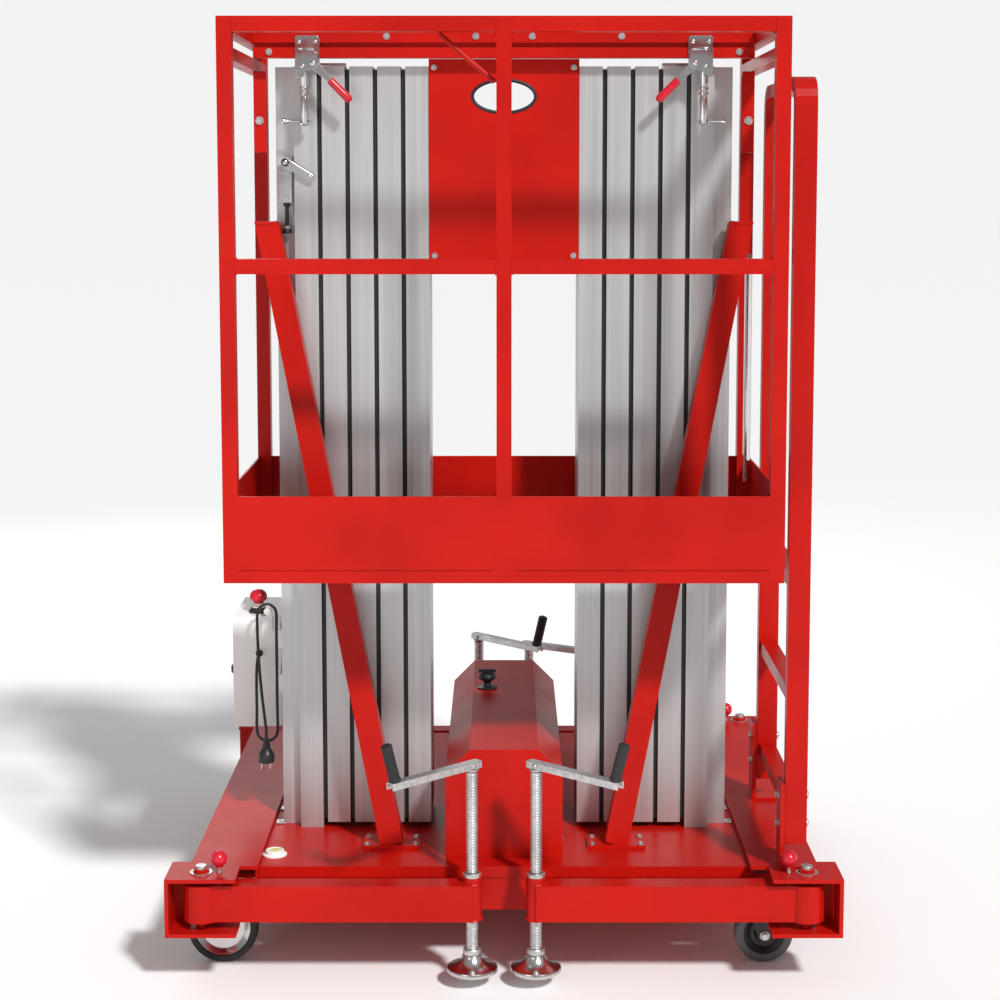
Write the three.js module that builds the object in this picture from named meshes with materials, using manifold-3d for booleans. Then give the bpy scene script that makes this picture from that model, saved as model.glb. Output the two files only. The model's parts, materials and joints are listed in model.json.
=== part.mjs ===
// Two-mast aluminium work platform: a wheeled chassis, two telescopic masts and a guarded basket.
// Millimetres, +Z up, front towards -Y. The origin is on the floor, below the middle of the model's box.
import * as THREE from 'three';
import { mergeVertices } from 'three/addons/utils/BufferGeometryUtils.js';
import Module from 'manifold-3d';

const wasm = await Module();
wasm.setup();

// ---- driving dimensions ----
const GAP = 0.3;
const ORIGIN_Y = 61.4;

const BASE_HALF_X = 695;
const SIDE_BEAM_X = [515, 655];
const SIDE_BEAM_HALF_Y = 560;
const BASE_TOP = 240;
const SIDE_BEAM_BOTTOM = 165;
const CROSS_BEAM_Y = [470, 520];
const PLATE_TOP = 227;
const WALL = 8;

const PIVOT = { x: 625, y: 600, r: 37 };
const ARM_Z = [143, 219];
const ARM_HALF_Y = 25;
const FOOT_X = 66;
const LOCK_PIN_X = 588;
const FOOT_BOTTOM = 30;
const CRANK_Z = 458;
const CRANK_LENGTH = 222;

const MAST_Y = -174;
const MAST_HALF_DEPTH = 90;
const STAGE_WIDTH = 50;
const STAGE_PITCH = 60;
const STAGE_COUNT = 5;
const STAGE_5_INNER_X = 162;
const STAGE_TOP = 1905;
const STAGE_BOTTOM = 240;

const BASKET_HALF_X = 563;
const BASKET_FRONT = -650;
const BASKET_REAR = -30;
const TUBE = 30;
const KICK_Z = [856, 1032];
const RAIL_TOP = 1980;
const MID_RAIL_Z = [1476, 1506];

const BIG_WHEEL_R = 75;
const SMALL_WHEEL_R = 62.5;
const CASTER_Y = 462;
const SWIVEL_X = 565;
const WHEEL_X = 600;

const FINISH = {
  red_paint: { color: 0xcf1f18, roughness: 0.4, metalness: 0.1 },
  aluminium: { color: 0xb4b4b6, roughness: 0.4, metalness: 0.9 },
  zinc: { color: 0xa9abab, roughness: 0.35, metalness: 0.9 },
  black_plastic: { color: 0x141414, roughness: 0.5, metalness: 0.0 },
  red_plastic: { color: 0xc4202a, roughness: 0.3, metalness: 0.0 },
  grey_tyre: { color: 0x6d6f70, roughness: 0.7, metalness: 0.0 },
  black_tyre: { color: 0x1b1b1b, roughness: 0.7, metalness: 0.0 },
  box_grey: { color: 0xe2e2df, roughness: 0.5, metalness: 0.0 },
  chrome: { color: 0xd0d0d0, roughness: 0.15, metalness: 1.0 },
};

const model = new THREE.Group();
model.position.y = ORIGIN_Y;

// ---- solids ----
function solid(geometry) {
  const bare = geometry.index ? geometry.toNonIndexed() : geometry.clone();
  bare.deleteAttribute('normal');
  bare.deleteAttribute('uv');
  const merged = mergeVertices(bare, 1e-4);
  return new wasm.Manifold(new wasm.Mesh({
    numProp: 3,
    vertProperties: new Float32Array(merged.attributes.position.array),
    triVerts: new Uint32Array(merged.index.array),
  }));
}

function box(x, y, z) {
  const shape = new THREE.BoxGeometry(x[1] - x[0], y[1] - y[0], z[1] - z[0]);
  shape.translate((x[0] + x[1]) / 2, (y[0] + y[1]) / 2, (z[0] + z[1]) / 2);
  return solid(shape);
}

function cylinder(axis, centre, from, to, radius, sides = 16) {
  const shape = new THREE.CylinderGeometry(radius, radius, to - from, sides);
  if (axis === 'x') {
    shape.rotateZ(-Math.PI / 2);
    shape.translate((from + to) / 2, centre[0], centre[1]);
  } else if (axis === 'y') {
    shape.translate(centre[0], (from + to) / 2, centre[1]);
  } else {
    shape.rotateX(Math.PI / 2);
    shape.translate(centre[0], centre[1], (from + to) / 2);
  }
  return solid(shape);
}

function prism(points, z, holes = []) {
  const outline = new THREE.Shape(points.map(([x, y]) => new THREE.Vector2(x, y)));
  for (const hole of holes) {
    outline.holes.push(new THREE.Path(hole.map(([x, y]) => new THREE.Vector2(x, y))));
  }
  const shape = new THREE.ExtrudeGeometry(outline, { depth: z[1] - z[0], bevelEnabled: false });
  shape.translate(0, 0, z[0]);
  return solid(shape);
}

// A ring turned about +Z from [radius, height] points.
function turned(profile, x, y, sides = 16) {
  const shape = new THREE.LatheGeometry(profile.map(([r, z]) => new THREE.Vector2(r, z)), sides);
  shape.rotateX(Math.PI / 2);
  shape.translate(x, y, 0);
  return solid(shape);
}

function bar(from, to, width, depth) {
  const start = new THREE.Vector3(...from);
  const end = new THREE.Vector3(...to);
  const along = end.clone().sub(start);
  const shape = new THREE.BoxGeometry(width, depth, along.length());
  const turn = new THREE.Quaternion().setFromUnitVectors(
    new THREE.Vector3(0, 0, 1), along.clone().normalize());
  shape.applyQuaternion(turn);
  const middle = start.add(end).multiplyScalar(0.5);
  shape.translate(middle.x, middle.y, middle.z);
  return solid(shape);
}

function rod(from, to, radius, sides = 10) {
  const start = new THREE.Vector3(...from);
  const end = new THREE.Vector3(...to);
  const along = end.clone().sub(start);
  const shape = new THREE.CylinderGeometry(radius, radius, along.length(), sides);
  const turn = new THREE.Quaternion().setFromUnitVectors(
    new THREE.Vector3(0, 1, 0), along.clone().normalize());
  shape.applyQuaternion(turn);
  const middle = start.add(end).multiplyScalar(0.5);
  shape.translate(middle.x, middle.y, middle.z);
  return solid(shape);
}

function join(...pieces) {
  return pieces.flat().reduce((whole, piece) => whole.add(piece));
}

function cut(whole, ...tools) {
  return tools.flat().reduce((rest, tool) => rest.subtract(tool), whole);
}

function span(a, b) {
  return a < b ? [a, b] : [b, a];
}

function add(name, finish, body) {
  const made = body.getMesh();
  const geometry = new THREE.BufferGeometry();
  const stride = made.numProp;
  const points = new Float32Array(made.vertProperties.length / stride * 3);
  for (let i = 0; i < points.length / 3; i += 1) {
    points.set(made.vertProperties.slice(i * stride, i * stride + 3), i * 3);
  }
  geometry.setAttribute('position', new THREE.BufferAttribute(points, 3));
  geometry.setIndex(new THREE.BufferAttribute(new Uint32Array(made.triVerts), 1));
  geometry.computeVertexNormals();
  const mesh = new THREE.Mesh(geometry, new THREE.MeshStandardMaterial(FINISH[finish]));
  mesh.name = name;
  model.add(mesh);
}

const SIDES = [['left', -1], ['right', 1]];
const ENDS = [['front', -1], ['rear', 1]];

// ---- chassis ----
const BRACKET_Y = [532, 645];
const BRACKET_FLOOR_Y = [572, 645];
const BRACKET_FLOOR_Z = [117, 125];
const BRACKET_INNER_X = 550;
const PIVOT_BOLT = { z: [110, 250], r: 12, headR: 17, headZ: [[106, 117], [240, 249]] };
const PIN_HOLE_R = 6.5;
const CASTER_PLATE_Z = [200, 208];

function sideBeam(s) {
  const outer = box(span(s * SIDE_BEAM_X[0], s * SIDE_BEAM_X[1]),
    [-SIDE_BEAM_HALF_Y, SIDE_BEAM_HALF_Y], [SIDE_BEAM_BOTTOM, BASE_TOP]);
  const inside = box(span(s * (SIDE_BEAM_X[0] + WALL), s * (SIDE_BEAM_X[1] - WALL)),
    [-SIDE_BEAM_HALF_Y - 1, SIDE_BEAM_HALF_Y + 1], [SIDE_BEAM_BOTTOM - 1, BASE_TOP - WALL]);
  const armRoom = ENDS.map(([, e]) => box(span(s * (SIDE_BEAM_X[0] - 1), s * (SIDE_BEAM_X[1] + 1)),
    span(e * 530, e * (SIDE_BEAM_HALF_Y + 1)), [SIDE_BEAM_BOTTOM - 1, BASE_TOP - WALL]));
  return cut(outer, inside, armRoom);
}

function cornerBracket(s, e) {
  const lid = box(span(s * BRACKET_INNER_X, s * BASE_HALF_X), span(e * BRACKET_Y[0], e * BRACKET_Y[1]),
    [BASE_TOP - WALL, BASE_TOP]);
  const floor = box(span(s * BRACKET_INNER_X, s * BASE_HALF_X),
    span(e * BRACKET_FLOOR_Y[0], e * BRACKET_FLOOR_Y[1]), BRACKET_FLOOR_Z);
  const wall = box(span(s * (BASE_HALF_X - WALL), s * BASE_HALF_X),
    span(e * BRACKET_FLOOR_Y[0], e * BRACKET_FLOOR_Y[1]), [BRACKET_FLOOR_Z[0], BASE_TOP]);
  const back = box(span(s * (SIDE_BEAM_X[1] - 1), s * BASE_HALF_X),
    span(e * (BRACKET_FLOOR_Y[0] - 20), e * (BRACKET_FLOOR_Y[0] - 12)), [BRACKET_FLOOR_Z[0], BASE_TOP]);
  const backFoot = box(span(s * (SIDE_BEAM_X[1] - 1), s * BASE_HALF_X),
    span(e * (BRACKET_FLOOR_Y[0] - 20), e * (BRACKET_FLOOR_Y[0] + 1)), BRACKET_FLOOR_Z);
  const bolt = cylinder('z', [s * PIVOT.x, e * PIVOT.y], ...PIVOT_BOLT.z, PIVOT_BOLT.r);
  const boltHeads = PIVOT_BOLT.headZ.map((z) =>
    cylinder('z', [s * PIVOT.x, e * PIVOT.y], ...z, PIVOT_BOLT.headR, 6));
  const pinHole = cylinder('z', [s * LOCK_PIN_X, e * PIVOT.y], 200, 260, PIN_HOLE_R);
  return cut(join(lid, floor, wall, back, backFoot, bolt, boltHeads), pinHole);
}

function casterMount(s, e) {
  return box(span(s * (SIDE_BEAM_X[0] + WALL - 1), s * (SIDE_BEAM_X[1] - WALL + 1)),
    span(e * (CASTER_Y - 55), e * (CASTER_Y + 55)), CASTER_PLATE_Z);
}

function crossBeam(e) {
  const high = box([-SIDE_BEAM_X[0] - 4, SIDE_BEAM_X[0] + 4],
    span(e * CROSS_BEAM_Y[0], e * CROSS_BEAM_Y[1]), [SIDE_BEAM_BOTTOM, PLATE_TOP - 5 - GAP]);
  const deep = box([-440, 440], span(e * CROSS_BEAM_Y[0], e * CROSS_BEAM_Y[1]),
    [132, SIDE_BEAM_BOTTOM + 1]);
  return join(high, deep);
}

function ladderBracket(y) {
  return join(
    box([572, 581], [y - 30, y + 30], [BASE_TOP - 4, 420]),
    box([572, 640], [y - 30, y + 30], [BASE_TOP - 4, BASE_TOP + 6]),
  );
}

const LADDER_Y = [-570, -75];
const LADDER_X = [583, 628];

add('chassis_frame', 'red_paint', join(
  SIDES.map(([, s]) => sideBeam(s)),
  ENDS.map(([, e]) => crossBeam(e)),
  SIDES.flatMap(([, s]) => ENDS.map(([, e]) => cornerBracket(s, e))),
  SIDES.flatMap(([, s]) => ENDS.map(([, e]) => casterMount(s, e))),
  [LADDER_Y[0] + 20, LADDER_Y[1]].map(ladderBracket),
  box([-60, 60], [-480, 480], [SIDE_BEAM_BOTTOM, PLATE_TOP - 5 - GAP]),
));

add('base_plate', 'red_paint', join(
  box([-SIDE_BEAM_X[0] + 1, SIDE_BEAM_X[0] - 1], [-524, 524], [PLATE_TOP - 5, PLATE_TOP]),
  ENDS.map(([, e]) => box([-SIDE_BEAM_X[0] + 1, SIDE_BEAM_X[0] - 1], span(e * 520.5, e * 524),
    [PLATE_TOP - 24, PLATE_TOP])),
));

// ---- power pack and its hood ----
const HOOD = { x: 125, front: -460, rear: 360, top: 460, chamfer: 52, skin: 3 };

function hoodBody(inset, bottom) {
  const x = HOOD.x - inset;
  const top = HOOD.top - inset;
  const section = [[-x, bottom], [x, bottom], [x, HOOD.top - HOOD.chamfer],
    [HOOD.x - HOOD.chamfer, top], [-(HOOD.x - HOOD.chamfer), top], [-x, HOOD.top - HOOD.chamfer]];
  const length = HOOD.rear - HOOD.front - 2 * inset;
  const outline = new THREE.Shape(section.map(([u, v]) => new THREE.Vector2(u, v)));
  const shape = new THREE.ExtrudeGeometry(outline, { depth: length, bevelEnabled: false });
  shape.rotateX(Math.PI / 2);
  shape.translate(0, HOOD.rear - inset, 0);
  return solid(shape);
}

add('power_pack_hood', 'red_paint', cut(
  hoodBody(0, PLATE_TOP + GAP),
  hoodBody(HOOD.skin, PLATE_TOP - 10),
));

const MOTOR = { z: 330, y: [-330, -90], radius: 62, endCapY: -350, endCapR: 45 };
add('pump_motor', 'black_plastic', join(
  cylinder('y', [0, MOTOR.z], ...MOTOR.y, MOTOR.radius),
  cylinder('y', [0, MOTOR.z], MOTOR.endCapY, MOTOR.y[0], MOTOR.endCapR),
  box([-50, 50], [-300, -120], [PLATE_TOP + GAP, MOTOR.z - 40]),
));

const TANK = { halfX: 95, y: [-80, 290], top: 385, filler: [-40, 220], fillerR: 22 };
add('oil_tank', 'zinc', join(
  box([-TANK.halfX, TANK.halfX], TANK.y, [PLATE_TOP + GAP, TANK.top]),
  cylinder('z', TANK.filler, TANK.top, TANK.top + 15, TANK.fillerR),
));

// ---- telescopic masts ----
// Each stage is a box section with a T tongue that runs in the next stage's T groove.
const TONGUE = { stem: 9, head: 17, neck: 17.5, tip: 24.5 };
const GROOVE = { mouth: 12, room: 20, lip: 6, depth: 17 };

function stageOuterX(stage) {
  return STAGE_5_INNER_X + STAGE_WIDTH + (STAGE_COUNT - stage) * STAGE_PITCH;
}

// The outline is drawn from the stage's outer face inwards, then mirrored for the other mast.
function stageSection(stage) {
  const d = MAST_HALF_DEPTH;
  const w = STAGE_WIDTH;
  const points = [];
  if (stage === 1) {
    points.push([0, -60], [-42, -60], [-42, 60], [0, 60], [0, d]);
  } else {
    points.push([0, -GROOVE.mouth], [GROOVE.lip, -GROOVE.mouth], [GROOVE.lip, -GROOVE.room],
      [GROOVE.depth, -GROOVE.room], [GROOVE.depth, GROOVE.room], [GROOVE.lip, GROOVE.room],
      [GROOVE.lip, GROOVE.mouth], [0, GROOVE.mouth], [0, d]);
  }
  points.push([w, d]);
  if (stage < STAGE_COUNT) {
    points.push([w, TONGUE.stem], [w + TONGUE.neck, TONGUE.stem], [w + TONGUE.neck, TONGUE.head],
      [w + TONGUE.tip, TONGUE.head], [w + TONGUE.tip, -TONGUE.head],
      [w + TONGUE.neck, -TONGUE.head], [w + TONGUE.neck, -TONGUE.stem], [w, -TONGUE.stem]);
  }
  points.push([w, -d], [0, -d]);
  return points;
}

function stageHollows(stage) {
  const d = MAST_HALF_DEPTH - 5;
  const inner = STAGE_WIDTH - 5;
  if (stage === 1) {
    return [
      [[4, -d], [inner + 1, -d], [inner + 1, d], [4, d]],
      [[-38, -56], [-4, -56], [-4, 56], [-38, 56]],
    ];
  }
  const back = GROOVE.depth + 4;
  return [[[5, -d], [inner, -d], [inner, d], [5, d], [5, GROOVE.room + 5], [back, GROOVE.room + 5],
    [back, -GROOVE.room - 5], [5, -GROOVE.room - 5]]];
}

function mastStage(stage, s, bottom) {
  const place = ([u, v]) => [s * (stageOuterX(stage) - u), MAST_Y + v];
  return prism(stageSection(stage).map(place), [bottom, STAGE_TOP],
    stageHollows(stage).map((hole) => hole.map(place)));
}

// ---- clamp on the left outer stage ----
const CLAMP = { x: -470, z: 1700, plungerY: -252, plungerZ: [1562, 1604], faceY: -242 };
const CLAMP_PIVOT_Y = [-270, CLAMP.faceY];

function clampBase() {
  return join(
    box([CLAMP.x - 22, CLAMP.x + 12], [CLAMP.faceY, CLAMP.faceY + 9], [1590, 1712]),
    box([CLAMP.x - 16, CLAMP.x + 6], [CLAMP.faceY - 8, CLAMP.faceY], [1600, CLAMP.z]),
    cylinder('y', [CLAMP.x, CLAMP.z], ...CLAMP_PIVOT_Y, 5),
    cylinder('z', [CLAMP.x, CLAMP.plungerY], ...CLAMP.plungerZ, 4),
    cylinder('z', [CLAMP.x, CLAMP.plungerY], CLAMP.plungerZ[0] - 10, CLAMP.plungerZ[0] + 2, 8),
  );
}

add('mast_clamp_lever', 'zinc', cut(join(
  cylinder('y', [CLAMP.x, CLAMP.z], -266, -256, 10),
  bar([CLAMP.x, -275, CLAMP.z], [CLAMP.x + 58, -275, CLAMP.z - 34], 9, 12),
  cylinder('y', [CLAMP.x, CLAMP.z], -281, -264, 8),
), cylinder('y', [CLAMP.x, CLAMP.z], -271, -250, 5.5)));

for (const [side, s] of SIDES) {
  for (let stage = 1; stage <= STAGE_COUNT; stage += 1) {
    const bottom = stage === 1 ? PLATE_TOP + GAP : STAGE_BOTTOM;
    const section = mastStage(stage, s, bottom);
    const withClamp = stage === 1 && side === 'left';
    add(`${side}_mast_stage_${stage}`, 'aluminium', withClamp ? join(section, clampBase()) : section);
  }
}

// ---- lift cylinders inside the outer stages ----
const CYLINDER_X = stageOuterX(1) - 25;

for (const [side, s] of SIDES) {
  const x = s * CYLINDER_X;
  const centre = [x, MAST_Y + 30];
  add(`${side}_lift_cylinder`, 'zinc', cut(
    cylinder('z', centre, PLATE_TOP + GAP, 1860, 19),
    cylinder('z', centre, 260, 1870, 12),
  ));
  const crosshead = box(span(s * (CYLINDER_X + 10), s * (stageOuterX(2) - 44)),
    [MAST_Y + 12, MAST_Y + 48], [STAGE_TOP + 1, STAGE_TOP + 13]);
  add(`${side}_cylinder_rod`, 'chrome', join(
    cylinder('z', centre, 280, STAGE_TOP + 5, 10),
    crosshead,
  ));
}

// ---- mast braces ----
const BRACE = { footX: 243, footY: -380, topX: 509, topY: -275, topZ: 1568, size: 50 };
const BRACE_LUG_X = [497, 503];
const BRACE_CAP_X = [497, 535];

for (const [side, s] of SIDES) {
  const foot = [s * BRACE.footX, BRACE.footY, PLATE_TOP + 6];
  const top = [s * BRACE.topX, BRACE.topY, BRACE.topZ];
  const tube = bar(foot, top, BRACE.size, BRACE.size - 4);
  const below = box(span(s * 100, s * 400), [-450, -300], [PLATE_TOP - 60, PLATE_TOP + GAP]);
  add(`${side}_brace`, 'red_paint', join(
    cut(tube, below),
    box(span(s * (BRACE.footX - 62), s * (BRACE.footX + 62)), [-415, -345],
      [PLATE_TOP + GAP, PLATE_TOP + 8]),
    box(span(s * BRACE_LUG_X[0], s * BRACE_LUG_X[1]), [-300, -160], [1470, BRACE.topZ + 6]),
    box(span(s * BRACE_CAP_X[0], s * BRACE_CAP_X[1]), [-300, -240], [BRACE.topZ, BRACE.topZ + 6]),
  ));
}

// ---- ladder on the right side ----
const LADDER = { bottom: 290, top: 1870, corner: 60, depth: 28 };
const RUNG_Z = [360, 600, 840];

function ladderTube() {
  const [near, far] = LADDER_Y;
  const c = LADDER.corner;
  const outline = new THREE.Shape();
  outline.moveTo(near, LADDER.bottom);
  outline.lineTo(near, LADDER.top - c);
  outline.quadraticCurveTo(near, LADDER.top, near + c, LADDER.top);
  outline.lineTo(far - c, LADDER.top);
  outline.quadraticCurveTo(far, LADDER.top, far, LADDER.top - c);
  outline.lineTo(far, LADDER.bottom);
  const d = LADDER.depth;
  outline.lineTo(far - d, LADDER.bottom);
  outline.lineTo(far - d, LADDER.top - c);
  outline.quadraticCurveTo(far - d, LADDER.top - d, far - c, LADDER.top - d);
  outline.lineTo(near + c, LADDER.top - d);
  outline.quadraticCurveTo(near + d, LADDER.top - d, near + d, LADDER.top - c);
  outline.lineTo(near + d, LADDER.bottom);
  const shape = new THREE.ExtrudeGeometry(outline,
    { depth: LADDER_X[1] - LADDER_X[0], bevelEnabled: false, curveSegments: 6 });
  // The outline's first axis is Y and its second is Z.
  shape.applyMatrix4(new THREE.Matrix4().set(0, 0, 1, 0, 1, 0, 0, 0, 0, 1, 0, 0, 0, 0, 0, 1));
  shape.translate(LADDER_X[0], 0, 0);
  return solid(shape);
}

add('ladder', 'red_paint', join(
  ladderTube(),
  RUNG_Z.map((z) => box([LADDER_X[0] + 5, LADDER_X[1] - 5], [LADDER_Y[0] + 10, LADDER_Y[1] - 10],
    [z - 15, z + 15])),
));

// ---- basket ----
function rails(x, y, z) {
  return box(span(...x), span(...y), span(...z));
}

// Beside the masts the basket's lower side rail narrows to a flange, which passes the brace tops.
const FLOOR_REAR = -360;
const REAR_FLANGE = 12;

function basketFrame() {
  const x = BASKET_HALF_X;
  const inX = x - TUBE;
  const front = [BASKET_FRONT, BASKET_FRONT + TUBE];
  const rear = [BASKET_REAR - TUBE, BASKET_REAR];
  const topZ = [RAIL_TOP - TUBE, RAIL_TOP];
  const pieces = [];
  for (const y of [front, rear]) {
    pieces.push(rails([-x, x], y, topZ), rails([-x, x], y, MID_RAIL_Z));
    pieces.push(rails([-x, x], y, [KICK_Z[0], KICK_Z[0] + TUBE]));
    for (const s of [-1, 1]) {
      pieces.push(rails([s * inX, s * x], y, [KICK_Z[0], RAIL_TOP]));
    }
  }
  pieces.push(rails([-15, 15], front, [KICK_Z[0], RAIL_TOP]));
  pieces.push(rails([-x, x], [BASKET_FRONT, BASKET_FRONT + 4], KICK_Z));
  pieces.push(rails([-x, x], [BASKET_REAR - 4, BASKET_REAR], KICK_Z));
  for (const s of [-1, 1]) {
    const along = [BASKET_FRONT, BASKET_REAR];
    pieces.push(rails([s * inX, s * x], along, topZ));
    pieces.push(rails([s * inX, s * x], along, [1895, 1920]));
    pieces.push(rails([s * inX, s * x], [BASKET_FRONT, FLOOR_REAR], [KICK_Z[0], KICK_Z[0] + TUBE]));
    pieces.push(rails([s * (x - REAR_FLANGE), s * x], along, [KICK_Z[0], KICK_Z[0] + TUBE]));
    pieces.push(rails([s * (x - 4), s * x], along, KICK_Z));
  }
  pieces.push(rails(GATE_LUG_X, [GATE_PIVOT.y - 13, -55], MID_RAIL_Z));
  return join(pieces);
}

const GATE_PIVOT = { x: 548, y: -112, z: 1491 };
const GATE_LUG_X = [532, 538];
const GATE_DROP = 506;

// A shallow groove along the front kick plate, on each side of the middle.
const KICK_GROOVE = { x: [24, 533], z: [879.5, 883.5], depth: 2 };

add('basket_frame', 'red_paint', cut(
  basketFrame(),
  cylinder('x', [GATE_PIVOT.y, GATE_PIVOT.z], 500, 545, 6.5),
  [-1, 1].map((s) => box(span(s * KICK_GROOVE.x[0], s * KICK_GROOVE.x[1]),
    [BASKET_FRONT - 1, BASKET_FRONT + KICK_GROOVE.depth], KICK_GROOVE.z)),
));

add('platform_deck', 'zinc', join(
  box([-532.5, 532.5], [-619.5, -372], [858, 870]),
  box([-135, 135], [-380, -60.5], [858, 870]),
));

add('gate_bar', 'chrome', join(
  cylinder('z', [GATE_PIVOT.x, GATE_PIVOT.y], GATE_PIVOT.z - GATE_DROP, GATE_PIVOT.z - 12, 8, 12),
  box([GATE_PIVOT.x - 3, GATE_PIVOT.x + 3], [GATE_PIVOT.y - 10, GATE_PIVOT.y + 10],
    [GATE_PIVOT.z - 24, GATE_PIVOT.z + 10]),
  cylinder('x', [GATE_PIVOT.y, GATE_PIVOT.z], GATE_LUG_X[0] - 3, GATE_PIVOT.x + 8, 6, 16),
));

// ---- head beam and centre plate that carry the basket on the two inner stages ----
const HEAD_BEAM = { y: [-300, -268], z: [1921, 1979] };
add('head_beam', 'red_paint', cut(
  box([-532.5, 532.5], HEAD_BEAM.y, HEAD_BEAM.z),
  box([-540, 540], [HEAD_BEAM.y[0] - 1, HEAD_BEAM.y[0] + 12], [1943, 1953]),
));

const PLATE = { y: [-268, -263], z: [1488, 1920.5], halfX: 161.5 };
const HAND_HOLE = { z: 1841, halfWidth: 69, halfHeight: 36 };

function handHole() {
  const shape = new THREE.CylinderGeometry(HAND_HOLE.halfHeight, HAND_HOLE.halfHeight, 25, 32);
  shape.scale(HAND_HOLE.halfWidth / HAND_HOLE.halfHeight, 1, 1);
  shape.translate(0, PLATE.y[0], HAND_HOLE.z);
  return solid(shape);
}

add('centre_plate', 'red_paint', cut(join(
  box([-PLATE.halfX, PLATE.halfX], PLATE.y, PLATE.z),
  [-1, 1].map((s) => box(span(s * (PLATE.halfX - 5), s * PLATE.halfX), [-268, -215], PLATE.z)),
  box([-PLATE.halfX, PLATE.halfX], [-268, -230], [PLATE.z[1] - 6, PLATE.z[1]]),
),
handHole()));

// ---- transport latches under the head beam ----
const LATCH = { x: 418, pivotX: 404, pivotZ: 1908, leverY: -321 };
for (const [side, s] of SIDES) {
  const pivot = [s * LATCH.pivotX, LATCH.pivotZ];
  add(`${side}_latch_base`, 'zinc', join(
    box(span(s * (LATCH.x - 26), s * (LATCH.x + 26)), [-306, -300.3], [1892, 1968]),
    cylinder('y', pivot, -330, -300.3, 6),
    box(span(s * (LATCH.x + 2), s * (LATCH.x + 12)), [-312, -304], [1790, 1900]),
    box(span(s * (LATCH.x - 12), s * (LATCH.x + 26)), [-312, -304], [1786, 1796]),
  ));
  const reach = (from, to) => [
    [pivot[0] - s * from * Math.SQRT1_2, LATCH.leverY, pivot[1] - from * Math.SQRT1_2],
    [pivot[0] - s * to * Math.SQRT1_2, LATCH.leverY, pivot[1] - to * Math.SQRT1_2],
  ];
  add(`${side}_latch_lever`, 'red_plastic', cut(join(
    bar(...reach(-6, 60), 16, 8),
    rod(...reach(48, 112), 8),
    cylinder('y', pivot, LATCH.leverY - 6, LATCH.leverY + 6, 13),
  ), cylinder('y', pivot, LATCH.leverY - 14, LATCH.leverY + 11, 6.5)));
}

// ---- control box and stop button ----
const BOX = { x: [-612, -505], y: [-160, 60], z: [430, 683] };
const STOP = { x: -560, y: -110 };
add('control_box', 'box_grey', join(
  box(BOX.x, BOX.y, BOX.z),
  box([-505, -497.5], [-200, -120], [520, 560]),
  box([-505, -497.5], [-200, -120], [620, 660]),
  cylinder('z', [STOP.x, STOP.y], BOX.z[1] - 1, BOX.z[1] + 12, 14),
  cylinder('y', [-553, 600], -163.5, -159, 8),
  box([-537, -523], [-166, -159.5], [650, 712]),
  cylinder('y', [-530, 704], -208, -160, 7),
));
add('emergency_stop', 'red_plastic', turned([[0, 704], [19, 704], [20, 714], [17, 728], [10, 735],
  [0, 737]], STOP.x, STOP.y));

// ---- outriggers ----
const SLEEVE = { r: 20, z: [140, 232] };
const SCREW_R = 13;
const LOCK_PIN = { r: 5, tip: ARM_Z[1] + 3, ball: 270, ballR: 17 };
const GRIP = { r: 12, length: 88, lean: 0.3 };

// Each crank's rest direction, as the angle of its arm about +Z.
const CRANK_ANGLE = {
  front_left: 224, front_right: 318, rear_left: 316, rear_right: 330,
};
// The rear right jack is wound down, so that the rear left crank passes over it.
const JACK_DROP = { rear_right: 22 };

function outriggerArm(s, e) {
  const y = e * PIVOT.y;
  const tube = box(span(s * FOOT_X, s * PIVOT.x), [y - ARM_HALF_Y, y + ARM_HALF_Y], ARM_Z);
  const inside = box(span(s * (FOOT_X + 30), s * (PIVOT.x - 40)),
    [y - ARM_HALF_Y + 4, y + ARM_HALF_Y - 4], [ARM_Z[0] + 4, ARM_Z[1] - 4]);
  const drain = cylinder('z', [s * 320, y], ARM_Z[0] - 1, ARM_Z[0] + 6, 8);
  const boss = cylinder('z', [s * PIVOT.x, y], ARM_Z[0], ARM_Z[1], PIVOT.r, 20);
  const sleeve = cylinder('z', [s * FOOT_X, y], SLEEVE.z[0], SLEEVE.z[1], SLEEVE.r, 20);
  const bores = [
    cylinder('z', [s * PIVOT.x, y], 100, 300, 13),
    cylinder('z', [s * FOOT_X, y], 100, 300, SCREW_R + 0.8),
  ];
  return cut(join(cut(tube, inside), boss, sleeve), drain, bores);
}

function jackLeg(name, s, e) {
  const drop = JACK_DROP[name] ?? 0;
  return turned([[0, FOOT_BOTTOM], [50, FOOT_BOTTOM], [53, FOOT_BOTTOM + 6], [50, FOOT_BOTTOM + 12],
    [20, FOOT_BOTTOM + 34], [18, FOOT_BOTTOM + 48], [SCREW_R, FOOT_BOTTOM + 50],
    [SCREW_R, CRANK_Z - 2], [8, CRANK_Z - 1], [8, CRANK_Z + 16], [0, CRANK_Z + 16]],
  s * FOOT_X, e * PIVOT.y, 18).translate([0, 0, -drop]);
}

function crank(name, s, e) {
  const angle = THREE.MathUtils.degToRad(CRANK_ANGLE[name]);
  const along = [Math.cos(angle), Math.sin(angle)];
  const at = (r, z) => [s * FOOT_X + along[0] * r, e * PIVOT.y + along[1] * r, z];
  const middle = CRANK_Z + 8;
  const lean = GRIP.length * GRIP.lean;
  return cut(
    join(
      cylinder('z', [s * FOOT_X, e * PIVOT.y], CRANK_Z, CRANK_Z + 18, 15),
      rod(at(10, middle), at(CRANK_LENGTH, middle), 9, 4),
      rod(at(CRANK_LENGTH - 12, middle), at(CRANK_LENGTH - 12 + lean, middle + GRIP.length), GRIP.r),
    ),
    cylinder('z', [s * FOOT_X, e * PIVOT.y], CRANK_Z - 5, CRANK_Z + 30, 8.4),
  ).translate([0, 0, -(JACK_DROP[name] ?? 0)]);
}

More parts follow.
